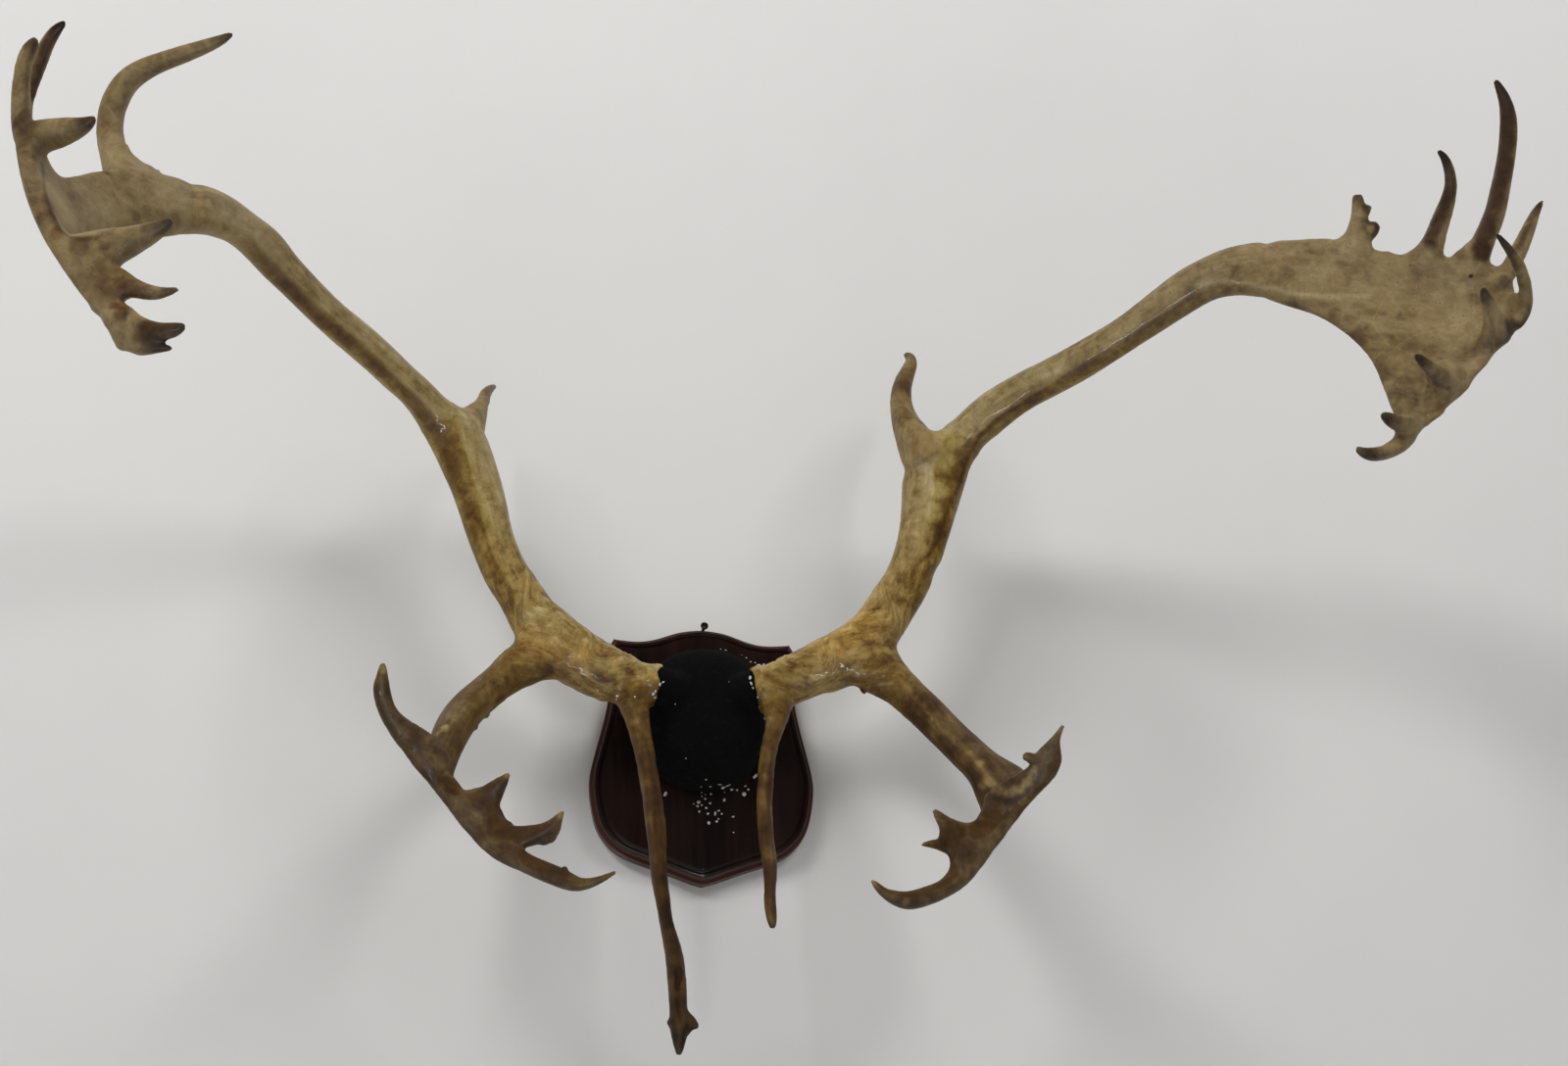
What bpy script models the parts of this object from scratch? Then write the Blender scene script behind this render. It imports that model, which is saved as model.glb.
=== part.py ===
"""Caribou antlers on a shield-shaped plaque, for hanging on a wall."""

import math

import bmesh
import bpy
from mathutils import Vector

# Units and clearances
MM = 0.001
GAP = 0.3

# Plaque, mm. x is across, z is up, measured from the middle of its back face
PLAQUE_THICK = 22.0
PLAQUE_WALL = 12.0
PLAQUE_STEP = 3.0
PLAQUE_BEAD = 5.0
PLAQUE_BEAD_ROUNDING = 1.5
PLAQUE_BEAD_DROP = 2.0
PLAQUE_GROOVE_DEPTH = 2.2
PLAQUE_GROOVE_WIDTH = 4.5
PLAQUE_HALF_OUTLINE = (
    (0.0, 133.5),
    (9.0, 133.0),
    (24.0, 130.5),
    (38.0, 125.5),
    (53.0, 120.8),
    (70.0, 119.0),
    (91.0, 121.0),
    (97.0, 110.0),
    (95.0, 78.0),
    (96.0, 46.0),
    (103.0, 18.0),
    (110.0, -9.0),
    (113.0, -34.0),
    (109.5, -62.0),
    (101.5, -85.0),
    (84.0, -103.0),
    (64.0, -112.0),
    (37.0, -121.5),
    (13.0, -130.5),
    (0.0, -134.0),
)

# Felt cover of the skull cap, mm
COVER_HALF_WIDTH = 63.0
COVER_HALF_HEIGHT = 73.0
COVER_DEPTH = 60.0
COVER_MIDDLE_UP = 31.0
COVER_FULLNESS = 2.5
COVER_SQUARENESS = 2.35
COVER_SIDES = 28
COVER_RINGS = 8
STUB_RADIUS = 18.5
STUB_SIDES = 14
STUB_HEART_UP = 14.0
STUB_START = 0.35
STUB_BEND = 0.75
STUB_STRAIGHT = 3.0
STUB_PAST_BURR = 4.0

# Screw that the plaque hangs under, mm
SCREW_ACROSS = 1.5
SCREW_RADIUS = 1.8
SCREW_LENGTH = 21.5
SCREW_HEAD_RADIUS = 4.0
SCREW_HEAD_THICK = 2.6
SCREW_SIDES = 12

# Viewing point that the antlers are laid out from, metres and degrees
EYE = Vector((-0.248, -2.179, -0.692))
SIGHT_PITCH = 23.2
SIGHT_YAW = 8.8
SIGHT_ROLL = -0.95

# Sight plane, mm: places on it run across from its left edge and down from its top edge
SIGHT_DISTANCE = 2300.0
SIGHT_WIDTH = 1600.0
SIGHT_HEIGHT = 1088.0

# Sides round each kind of piece, and how far the pearls of a burr stand out
BEAM_SIDES = 12
PALM_SIDES = 14
BEZ_SIDES = 10
BROW_SIDES = 10
REAR_SIDES = 8
HORN_SIDES = 7
LOBE_SIDES = 6
BURR_PEARL = 1.06


def sight_axes():
    """Directions ahead, rightward and upward of the sight plane."""
    pitch = math.radians(SIGHT_PITCH)
    yaw = math.radians(SIGHT_YAW)
    roll = math.radians(SIGHT_ROLL)
    ahead = Vector((
        math.sin(yaw) * math.cos(pitch),
        math.cos(yaw) * math.cos(pitch),
        math.sin(pitch),
    ))
    level = Vector((math.cos(yaw), -math.sin(yaw), 0.0))
    above = level.cross(ahead)
    rightward = level * math.cos(roll) + above * math.sin(roll)
    upward = above * math.cos(roll) - level * math.sin(roll)
    return ahead, rightward, upward


AHEAD, RIGHTWARD, UPWARD = sight_axes()


def seen(across, down, off):
    """Real place of a point of the sight plane that lies so far off the wall."""
    ray = AHEAD * SIGHT_DISTANCE
    ray += RIGHTWARD * (across - SIGHT_WIDTH / 2)
    ray += UPWARD * (SIGHT_HEIGHT / 2 - down)
    return EYE + ray * ((-off * MM - EYE.y) / ray.y)


def seen_size(size, place):
    """Real size of something at this place that takes up so much of the sight plane."""
    return size * (place - EYE).dot(AHEAD) / SIGHT_DISTANCE


def tangents(points):
    last = len(points) - 1
    return [
        (points[min(k + 1, last)] - points[max(k - 1, 0)]).normalized()
        for k in range(last + 1)
    ]


def blade_rings(stations, sides, grow=0.0):
    """Rings through edge pairs. A station is (edge, edge, thickness) or has a middle place too."""
    edges = []
    for station in stations:
        first = seen(*station[0])
        second = seen(*station[1])
        middle = seen(*station[3]) if len(station) > 3 else (first + second) / 2
        edges.append((first, second, middle, station[2] * MM))
    along = tangents([edge[2] for edge in edges])
    rings = []
    for (first, second, middle, thick), ahead in zip(edges, along):
        reach = (second - first) / 2
        reach += reach.normalized() * grow * MM
        bend = (first + second) / 2 - middle
        ring = []
        for k in range(sides):
            angle = 2 * math.pi * k / sides
            u = -math.cos(angle)
            slope = reach + bend * 2 * u
            rise = ahead.cross(slope).normalized() * (thick / 2 + grow * MM)
            ring.append(middle + reach * u + bend * u * u + rise * math.sin(angle))
        rings.append(ring)
    return stretch_ends(rings, along, grow)


def horn_rings(stations, sides):
    """Round rings about a centre line. A station is (across, down, off, width as seen)."""
    points = [seen(*station[:3]) for station in stations]
    along = tangents(points)
    side = along[0].cross(AHEAD).normalized()
    rings = []
    for k, (station, point, ahead) in enumerate(zip(stations, points, along)):
        if k:
            side = along[k - 1].rotation_difference(ahead) @ side
        other = ahead.cross(side).normalized()
        half = seen_size(station[3], point) / 2
        turns = [2 * math.pi * n / sides for n in range(sides)]
        rings.append([point + (side * math.cos(t) + other * math.sin(t)) * half for t in turns])
    return rings


def stretch_ends(rings, along, grow):
    """Moves the first and the last ring outward along the piece."""
    rings[0] = [point - along[0] * grow * MM for point in rings[0]]
    rings[-1] = [point + along[-1] * grow * MM for point in rings[-1]]
    return rings


def add_object(name, bm):
    bmesh.ops.recalc_face_normals(bm, faces=bm.faces)
    mesh = bpy.data.meshes.new(name)
    bm.to_mesh(mesh)
    bm.free()
    obj = bpy.data.objects.new(name, mesh)
    bpy.context.scene.collection.objects.link(obj)
    return obj


def close_end(bm, ring):
    """Closes a ring with a strip of faces from one edge of it to the other."""
    count = len(ring)
    for k in range(count // 2):
        corners = [ring[k], ring[k + 1], ring[(count - k - 1) % count], ring[(count - k) % count]]
        bm.faces.new(list(dict.fromkeys(corners)))


def skin(bm, rows):
    """Faces between neighbouring rows, each split along the same diagonal."""
    for lower, upper in zip(rows, rows[1:]):
        for k in range(len(lower)):
            n = (k + 1) % len(lower)
            bm.faces.new((lower[k], lower[n], upper[n]))
            bm.faces.new((lower[k], upper[n], upper[k]))


def loft(name, rings):
    """Closed skin over a row of rings."""
    bm = bmesh.new()
    rows = [[bm.verts.new(point) for point in ring] for ring in rings]
    skin(bm, rows)
    close_end(bm, rows[0])
    close_end(bm, rows[-1])
    return add_object(name, bm)


def boolean(target, tool, operation):
    """Joins the tool to the target, or takes it away from it, and removes the tool."""
    modifier = target.modifiers.new(operation, "BOOLEAN")
    modifier.operation = operation
    modifier.solver = "EXACT"
    modifier.object = tool
    bpy.context.view_layer.objects.active = target
    bpy.ops.object.modifier_apply(modifier=modifier.name)
    bpy.data.objects.remove(tool, do_unlink=True)
    return target


def fuse(name, pieces):
    body = pieces[0]
    body.name = name
    for piece in pieces[1:]:
        boolean(body, piece, "UNION")
    return body


def horns(table, sides=HORN_SIDES):
    return [loft("horn", horn_rings(row, sides)) for row in table]


def finish(obj, material, sharp_degrees=50):
    obj.data.materials.clear()
    obj.data.materials.append(material)
    bpy.context.view_layer.objects.active = obj
    bpy.ops.object.select_all(action="DESELECT")
    obj.select_set(True)
    bpy.ops.object.shade_smooth()
    obj.data.set_sharp_from_angle(angle=math.radians(sharp_degrees))


def material(name, colour, roughness, metallic=0.0):
    made = bpy.data.materials.new(name)
    made.use_nodes = True
    shader = made.node_tree.nodes["Principled BSDF"]
    shader.inputs["Base Color"].default_value = (*colour, 1.0)
    shader.inputs["Roughness"].default_value = roughness
    shader.inputs["Metallic"].default_value = metallic
    return made



# Left beam, from the burr out to the crown: upper edge, lower edge, thickness
LEFT_BURR = (
    ((674, 684, 79), (668, 716, 79), 38),
    ((674, 680.5, 79), (666, 719, 79), 46),
    ((667, 679, 80), (658, 721, 80), 48),
    ((660, 679, 81), (652, 719.5, 81), 43),
)
LEFT_BEAM = (
    ((642, 670.5, 83), (632, 717, 83), 43),
    ((622, 659, 87), (612, 714, 87), 45),
    ((600, 645, 92), (585, 702, 92), 46),
    ((580, 628, 97), (550, 682, 97), 46),
    ((563, 614, 101), (526, 649, 101), 44),
    ((551.5, 598, 105), (512, 620, 105), 41),
    ((537, 577, 108), (499, 600, 108), 39),
    ((529.5, 562, 111), (489, 580, 111), 38),
    ((523.5, 545, 114), (480.5, 560, 114), 38),
    ((519, 523, 117), (472, 535, 117), 38),
    ((513.5, 500, 120), (463, 508, 120), 38),
    ((507, 478, 124), (454, 487, 124), 38),
    ((500, 456, 129), (443, 464, 129), 38),
    ((486, 425, 137), (432, 443, 137), 37),
    ((461, 412, 147), (421, 425, 147), 36),
    ((437, 389, 160), (408, 408, 160), 35),
    ((420, 375, 169), (395, 396, 169), 34),
    ((400, 354.5, 183), (375.5, 377.5, 183), 33),
    ((370, 328, 208), (347, 353, 208), 32),
    ((340, 303, 232), (316, 326, 232), 32),
    ((313, 275, 257), (287, 298, 257), 33),
    ((300, 260, 268), (270, 282, 268), 34),
    ((289, 245, 279), (256, 267, 279), 35),
    ((275, 230.5, 290), (243, 254, 290), 36),
    ((258, 218.5, 301), (230, 245, 301), 36),
    ((238, 203.5, 315), (216, 240.5, 315), 35),
    ((215, 193, 333), (202, 238.5, 333), 34),
)
LEFT_CROWN_ROOT = ((190, 186, 350), (182, 240, 350), 32)

# Right beam, from the burr out to the crown
RIGHT_BURR = (
    ((767, 688, 79), (774, 719, 79), 38),
    ((765.5, 684, 79), (777, 725, 79), 46),
    ((772, 681.5, 80), (784, 726.5, 80), 48),
    ((780, 680, 81), (791, 723.5, 81), 43),
)
RIGHT_BEAM = (
    ((800, 671, 84), (812, 719, 84), 43),
    ((820, 661, 88), (838, 708, 88), 45),
    ((845, 648, 93), (868, 702, 93), 46),
    ((868, 633, 98), (900, 677, 98), 46),
    ((884, 614, 103), (916, 655, 103), 44),
    ((896, 596, 108), (930, 632, 108), 41),
    ((906, 579, 112), (944, 608, 112), 39),
    ((913, 560, 116), (957, 580, 116), 38),
    ((918, 538, 120), (968, 549, 120), 38),
    ((920, 515, 124), (977, 521, 124), 38),
    ((921, 495, 128), (984, 495, 128), 38),
    ((924, 475, 133), (991, 474, 133), 38),
    ((935, 452, 140), (999, 462, 140), 37),
    ((953, 441, 146), (1004, 454, 146), 37),
    ((969, 432, 151), (1011, 448, 151), 37),
    ((985, 418, 158), (1018, 443, 158), 36),
    ((1005, 402, 170), (1027, 435, 170), 35),
    ((1030, 387, 186), (1049, 418.5, 186), 34),
    ((1060, 371, 208), (1077, 403, 208), 33),
    ((1100, 350, 240), (1117, 381, 240), 32),
    ((1140, 326, 268), (1158, 355, 268), 32),
    ((1174, 300, 291), (1195, 332, 291), 33),
    ((1200, 280, 308), (1221, 315.5, 308), 34),
    ((1223, 267, 321), (1240, 305, 321), 35),
    ((1246, 256.5, 333), (1256, 301.5, 333), 35),
    ((1268, 251, 342), (1272, 301, 342), 34),
)
RIGHT_CROWN_ROOT = ((1290, 247, 350), (1292, 304.5, 350), 32)

# Brow tines: centre places and widths
LEFT_BROW = (
    ((646, 700, 84, 40), (647, 715, 88, 36), (649, 727, 91, 28), (652, 742, 95, 22)),
    ((656, 760, 100, 20.5), (660, 780, 105, 19.5), (663, 800, 110, 19.5)),
    ((666, 820, 115, 19.5), (668.5, 840, 119, 20), (670.5, 860, 123, 18)),
    ((671.5, 880, 127, 17), (673.5, 900, 130, 15.5), (677, 920, 134, 15)),
    ((680, 940, 137, 14.5), (685, 960, 140, 17), (689, 980, 143, 18.5)),
    ((690.5, 1000, 146, 19), (692, 1020, 149, 18.5), (692.5, 1036, 152, 18.5)),
    ((693, 1050, 154, 18), (693, 1062, 156, 13), (693, 1075, 158, 6)),
)
LEFT_BROW_LOBES = (
    ((692, 1030, 151, 12), (701, 1038, 152, 11), (708, 1045, 153, 9), (712, 1049, 154, 5)),
    ((692, 1038, 152, 10), (685, 1043, 153, 8), (682, 1046, 154, 5)),
)
RIGHT_BROW = (
    ((795, 700, 84, 40), (794, 716, 89, 33), (793, 728, 92, 26), (791, 741, 95, 20)),
    ((785.5, 760, 100, 16.5), (782.5, 780, 104, 16), (781, 800, 108, 16)),
    ((780, 820, 112, 15.5), (780.5, 840, 116, 15), (782, 860, 120, 14.5)),
    ((785, 880, 124, 14), (786, 900, 128, 12), (786, 920, 132, 12)),
    ((787.5, 936, 135, 11), (788.5, 946, 137, 6)),
)

# Bez tines: the arm and the small palm as edge pairs, its points as centre places
LEFT_BEZ_ARM = (
    ((540, 640, 97), (590, 690, 97), 36),
    ((527, 651, 100), (564, 693, 100), 38),
    ((513, 666, 105), (540, 699, 105), 36),
    ((497, 683, 113), (520, 710, 113), 34),
    ((478, 699, 124), (501, 725, 124), 33),
    ((460, 715, 140), (489, 738, 140), 32),
    ((446, 736, 160), (480, 751, 160), 32),
    ((438, 757, 182), (469, 773, 182), 30),
    ((432, 776, 202), (462, 796, 202), 24),
    ((436, 792, 214), (461, 812, 214), 18),
)
LEFT_BEZ_PALM = (
    ((388, 681, 262), (393, 681, 262), 6),
    ((383, 694, 258), (396, 693, 258), 12),
    ((381, 707, 252), (398.5, 707, 252), 15),
    ((387, 729, 243), (406, 726, 243), 17),
    ((400, 751, 236), (424, 739, 236), 18),
    ((418, 776, 230), (448, 755, 228), 20),
    ((439, 801, 226), (466, 780, 222), 22),
    ((456, 823, 225), (482, 803, 220), 22),
    ((471, 844, 226), (504, 814, 222), 20),
    ((488, 863, 228), (517, 833, 226), 18),
    ((506, 877, 231), (530, 848, 232), 17),
    ((525, 886, 236), (534, 868, 237), 17),
    ((546, 896, 243), (552, 878, 244), 16),
    ((568, 905, 251), (576, 887, 252), 15),
    ((587, 909, 259), (590, 895.5, 259), 13),
    ((607, 904.5, 267), (605, 896.5, 267), 9),
    ((628, 892, 276), (627, 889, 276), 4),
)
LEFT_BEZ_POINTS = (
    (
        (488, 825, 224, 36), (499, 813, 228, 27), (508, 803, 235, 17), (514.5, 795.5, 243, 9),
        (518.5, 790.5, 249, 4),
    ),
    (
        (520, 855, 232, 26), (540, 853, 238, 21), (557, 848, 246, 17), (567, 839, 254, 11),
        (574, 829.5, 262, 4),
    ),
)
RIGHT_BEZ_ARM = (
    ((905, 645, 98), (860, 692, 98), 36),
    ((915, 664, 101), (877, 703, 101), 38),
    ((924, 680, 106), (897, 710, 106), 36),
    ((940, 698, 114), (914, 722, 114), 34),
    ((960, 717, 127), (935, 741, 127), 33),
    ((980, 737, 141), (955, 761, 141), 32),
    ((1000, 755, 156), (975, 781, 156), 32),
    ((1021, 774, 172), (990, 799, 172), 32),
    ((1048, 786, 190), (999, 824, 190), 28),
    ((1054, 800, 206), (1006, 840, 206), 18),
)
RIGHT_BEZ_PALM = (
    ((1086, 742, 262), (1082.5, 741, 262), 5),
    ((1081, 755, 256), (1071, 757, 256), 10),
    ((1083, 770, 248), (1058, 768, 248), 14),
    ((1080, 787, 240), (1051, 779, 238), 17),
    ((1067, 803, 232), (1039, 790, 228), 20),
    ((1052, 819, 226), (1016, 800, 220), 22),
    ((1038, 836, 222), (1003, 816, 216), 22),
    ((1024, 855, 221), (990, 836, 216), 20),
    ((1011, 873, 222), (973, 850, 220), 18),
    ((1000, 888, 226), (968, 872, 226), 17),
    ((988, 901, 232), (970, 886, 232), 17),
    ((971, 913, 239), (958, 900, 239), 16),
    ((950, 923, 247), (943, 906, 247), 16),
    ((929, 928, 255), (925, 911, 255), 15),
    ((909, 921, 263), (908, 908.5, 263), 12),
    ((896, 911, 269), (901, 905, 269), 8),
    ((889, 900, 274), (892, 898, 274), 4),
)
RIGHT_BEZ_POINTS = (
    ((1064, 780, 240, 16), (1055, 775, 246, 12), (1046, 771.5, 252, 8)),
    ((982, 853, 220, 28), (970, 845, 226, 19), (961, 836, 233, 12), (954, 828, 240, 5)),
    ((980, 866, 224, 22), (965, 863, 230, 14), (953, 861.5, 236, 8.5), (942, 862, 242, 4)),
)

# Rear tines: centre places and widths, leaning back to the wall
LEFT_REAR = (
    (470, 452, 132, 38),
    (478, 439, 128, 34),
    (484.5, 428, 121, 25),
    (489.5, 418, 114, 17),
    (493, 409.5, 106, 12.5),
    (495.5, 403, 98, 11),
    (499.5, 397.5, 88, 8),
    (504.5, 394.5, 78, 4),
)
RIGHT_REAR = (
    (948, 474, 136, 50),
    (936, 454, 133, 44),
    (924, 433, 125, 28),
    (919.5, 412, 114, 21.5),
    (920.5, 396, 104, 19.5),
    (925.5, 382, 94, 15),
    (929.5, 371.5, 86, 12),
    (928.5, 365, 80, 9),
    (924.5, 362, 76, 5),
)

# Left crown palm, seen on its edge: upper edge, lower edge, thickness, middle
LEFT_CROWN = (
    LEFT_CROWN_ROOT,
    ((160, 177, 370), (150, 243, 370), 28, (155, 211, 372)),
    ((130, 173, 388), (115, 247, 388), 25, (122, 211, 392)),
    ((100, 175, 408), (90, 254, 410), 22, (94, 214, 414)),
    ((79, 179, 428), (82, 266, 434), 20, (76, 220, 438)),
    ((64, 181, 446), (86, 282, 456), 18, (62, 223, 460)),
    ((53, 172, 462), (96, 300, 474), 18, (51, 223, 478)),
    ((39, 142, 476), (112, 322, 488), 18, (46, 219, 490)),
    ((29, 116, 486), (127, 342, 498), 17, (42.5, 216, 500)),
    ((23, 98, 494), (138, 355, 506), 14, (42, 215, 508)),
)
LEFT_CROWN_HORNS = (
    (
        (26, 150, 486, 22), (22, 125, 494, 20), (21.5, 105, 500, 18), (22, 82, 508, 15),
        (26, 60, 516, 13), (32, 47, 522, 10), (36, 41, 525, 5),
    ),
    (
        (31, 148, 474, 14), (30, 125, 478, 8), (30.5, 105, 482, 7.5), (35, 82, 488, 11),
        (42, 60, 494, 13.5), (47, 47, 499, 13.5), (54, 35, 505, 12), (61, 27, 510, 8.5),
        (66, 23, 513, 4),
    ),
    (
        (34, 142, 490, 36), (50, 138, 498, 33), (66, 134, 508, 27), (80, 130, 518, 20),
        (90, 125.5, 526, 13), (96, 121, 531, 6),
    ),
    (
        (76, 262, 486, 46), (98, 258, 494, 46), (118, 251.5, 503, 38), (138, 244.5, 512, 28),
        (154, 237.5, 522, 21.5), (167, 230.5, 530, 14.5), (174, 225.5, 535, 6.5),
    ),
    (
        (94, 286, 495, 36), (110, 289, 500, 43), (122, 290.5, 506, 33), (136, 294, 512, 20),
        (152, 298, 520, 15.5), (167, 298.5, 527, 10.5), (180, 295.5, 532, 5),
    ),
    (
        (110, 313, 499, 24), (122, 325, 505, 34), (135, 334, 512, 29), (150, 337, 518, 22),
        (164, 338.5, 525, 18.5), (178, 336.5, 531, 14.5), (187, 333, 535, 7),
    ),
    (
        (134, 349, 506, 18), (143, 353, 511, 19), (153, 354.5, 516, 14), (164, 355, 520, 9),
        (174, 355.5, 523, 5),
    ),
)
LEFT_BACK_TINE = (
    ((134, 205, 386, 44), (127, 188, 384, 42), (121, 170, 382, 33), (115, 152, 380, 28)),
    ((112, 134, 379, 27), (114, 115, 379, 26), (119, 100, 381, 26), (127.5, 86, 384, 25)),
    ((140, 75, 388, 23), (157, 66, 393, 20), (176, 59, 399, 18), (195, 52.5, 405, 16)),
    ((213, 46, 411, 13.5), (227, 40, 416, 9.5), (236, 35, 420, 4.5)),
)

# Right crown palm, seen on its face
RIGHT_CROWN = (
    RIGHT_CROWN_ROOT,
    ((1315, 246, 360), (1318, 313, 360), 28, (1317, 280, 358)),
    ((1342, 243.5, 370), (1348, 323, 370), 25, (1346, 282, 366)),
    ((1370, 244, 380), (1380, 345, 380), 22, (1374, 288, 374)),
    ((1398, 254, 390), (1401, 370, 390), 20, (1398, 302, 380)),
    ((1428, 256.5, 400), (1413, 398, 402), 18, (1419, 318, 386)),
    ((1454, 258, 410), (1426, 434, 414), 17, (1442, 334, 393)),
    ((1482, 261, 420), (1458, 438, 426), 16, (1473, 338, 401)),
    ((1507, 266, 428), (1484, 411, 434), 15, (1502, 332, 411)),
    ((1528, 271, 434), (1510, 384, 440), 14, (1526, 324, 423)),
    ((1538, 275, 437), (1533, 354, 442), 12, (1539, 314, 432)),
    ((1542, 286, 439), (1546, 336, 443), 8, (1546, 312, 437)),
)
RIGHT_CROWN_HORNS = (
    (
        (1386, 262, 384, 34), (1385, 248, 386, 29), (1385, 236, 389, 22), (1387, 222, 392, 17),
        (1386, 209, 395, 12.5), (1385, 200, 397, 10),
    ),
    ((1386, 226, 391, 10), (1393, 217, 394, 9), (1397, 211, 396, 6)),
    ((1388, 244, 388, 18), (1396, 237, 391, 18), (1402, 232, 394, 14), (1405.5, 229, 396, 7)),
    (
        (1452, 280, 406, 34), (1457, 262, 409, 30), (1464.5, 242, 414, 22), (1472, 220, 422, 18),
        (1478.5, 200, 432, 14.5), (1480, 181, 443, 12), (1475, 163, 454, 8.5),
        (1468.5, 155, 460, 4.5),
    ),
    (
        (1502, 286, 424, 30), (1506, 266, 427, 26), (1513.5, 246, 430, 22),
        (1524, 222, 433, 20.5), (1529.5, 200, 436, 19.5), (1533.5, 180, 440, 18),
        (1537, 160, 445, 17.5), (1539, 140, 451, 17.5), (1539, 120, 458, 16),
        (1535, 101, 466, 12), (1529.5, 89, 472, 8), (1526.5, 82.5, 475, 4.5),
    ),
    (
        (1528, 296, 430, 20), (1542, 272, 436, 18), (1556, 243, 436, 15), (1565, 221, 437, 10),
        (1573, 206, 438, 4.5),
    ),
    (
        (1530, 336, 436, 20), (1546, 328, 446, 19), (1556, 314, 456, 14), (1557, 299, 467, 12.5),
        (1554.5, 284, 478, 12), (1549.5, 270, 488, 11.5), (1543, 259, 496, 9.5),
        (1535, 248.5, 503, 7), (1528, 240, 508, 4),
    ),
    (
        (1514, 357, 432, 20), (1523, 346, 442, 26), (1525, 330, 455, 22), (1520, 313, 467, 15),
        (1515.5, 301.5, 476, 10), (1513, 295, 480, 5),
    ),
    (
        (1473, 405, 422, 22), (1477, 394, 436, 28), (1467, 384, 450, 22), (1457, 374, 462, 14),
        (1449, 366.5, 470, 9), (1445, 363, 474, 4.5),
    ),
    (
        (1444, 430, 418, 26), (1433, 433, 426, 20), (1424, 431, 434, 16),
        (1416, 426.5, 441, 11.5), (1411.5, 423.5, 446, 6),
    ),
    (
        (1442, 432, 415, 20), (1435, 445, 417, 21), (1426, 455, 420, 17.5),
        (1412, 462, 424, 14.5), (1399, 463.5, 428, 13), (1389.5, 461, 432, 9),
        (1385, 458, 434, 5),
    ),
)


def flat(rows):
    return tuple(place for row in rows for place in row)


def beam(name, burr, stations, root, grow=0.0):
    """Main beam. It stops short of the crown root by the gap."""
    rings = blade_rings(burr + stations + (root,), BEAM_SIDES, grow)
    for row in (1, 2):
        middle = sum(rings[row], Vector()) / BEAM_SIDES
        for k in range(0, BEAM_SIDES, 2):
            rings[row][k] = middle + (rings[row][k] - middle) * BURR_PEARL
    return loft(name, rings)


def crown(name, stations, table, cutter):
    """Crown palm with all its points, cut clear of the beam."""
    rings = blade_rings(stations, PALM_SIDES)
    ahead = tangents([sum(ring, Vector()) / PALM_SIDES for ring in rings])[0]
    rings[0] = [point + ahead * GAP * MM for point in rings[0]]
    body = fuse(name, [loft(name, rings)] + horns(table))
    return boolean(body, cutter, "DIFFERENCE")


def bez_tine(name, arm, palm, points, cutter):
    pieces = [
        loft(name, blade_rings(palm, BEZ_SIDES)),
        loft("arm", blade_rings(arm, BEZ_SIDES)),
    ]
    body = fuse(name, pieces + horns(points))
    return boolean(body, cutter, "DIFFERENCE")


def horn_tine(name, stations, lobes, cutter, sides):
    body = fuse(name, [loft(name, horn_rings(stations, sides))] + horns(lobes, LOBE_SIDES))
    return boolean(body, cutter, "DIFFERENCE")


def plaque_ring(bm, outline, inset, depth):
    """Row of corners of the outline, moved inward by the inset, at this depth off the wall."""
    count = len(outline)
    row = []
    for k, corner in enumerate(outline):
        before = (corner - outline[k - 1]).normalized()
        after = (outline[(k + 1) % count] - corner).normalized()
        inward = (before + after).normalized().orthogonal()
        reach = inset / max(0.5, inward.dot(before.orthogonal()))
        place = corner + inward * reach
        row.append(bm.verts.new((place.x * MM, -depth * MM, place.y * MM)))
    return row


def make_plaque():
    """Shield board with a beaded edge and a groove inside the bead."""
    half = [Vector(corner) for corner in PLAQUE_HALF_OUTLINE]
    mirrored = [Vector((-corner.x, corner.y)) for corner in half[-2:0:-1]]
    outline = half[::-1] + mirrored[::-1]
    bead_end = PLAQUE_STEP + PLAQUE_BEAD
    shape = (
        (0.0, 0.0),
        (0.0, PLAQUE_WALL),
        (PLAQUE_STEP, PLAQUE_WALL + GAP),
        (PLAQUE_STEP + PLAQUE_BEAD_ROUNDING, PLAQUE_THICK - PLAQUE_BEAD_DROP),
        (bead_end, PLAQUE_THICK - 2 * GAP),
        (bead_end + PLAQUE_BEAD_ROUNDING, PLAQUE_THICK - PLAQUE_GROOVE_DEPTH),
        (bead_end + PLAQUE_GROOVE_WIDTH, PLAQUE_THICK),
    )
    bm = bmesh.new()
    rows = [plaque_ring(bm, outline, inset, depth) for inset, depth in shape]
    skin(bm, rows)
    bm.faces.new(rows[0])
    bm.faces.new(rows[-1])
    return add_object("plaque", bm)


def make_screw():
    """Round-headed screw that rests on the top edge of the plaque."""
    up = PLAQUE_HALF_OUTLINE[0][1] + GAP + SCREW_RADIUS
    shape = (
        (0.0, SCREW_RADIUS),
        (SCREW_LENGTH, SCREW_RADIUS),
        (SCREW_LENGTH, SCREW_HEAD_RADIUS),
        (SCREW_LENGTH + 0.4 * SCREW_HEAD_THICK, SCREW_HEAD_RADIUS),
        (SCREW_LENGTH + 0.8 * SCREW_HEAD_THICK, 0.75 * SCREW_HEAD_RADIUS),
        (SCREW_LENGTH + SCREW_HEAD_THICK, 0.35 * SCREW_HEAD_RADIUS),
    )
    turns = [2 * math.pi * k / SCREW_SIDES for k in range(SCREW_SIDES)]
    rings = [
        [
            Vector((SCREW_ACROSS + radius * math.cos(t), -off, up + radius * math.sin(t))) * MM
            for t in turns
        ]
        for off, radius in shape
    ]
    return loft("hanging_screw", rings)


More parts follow.
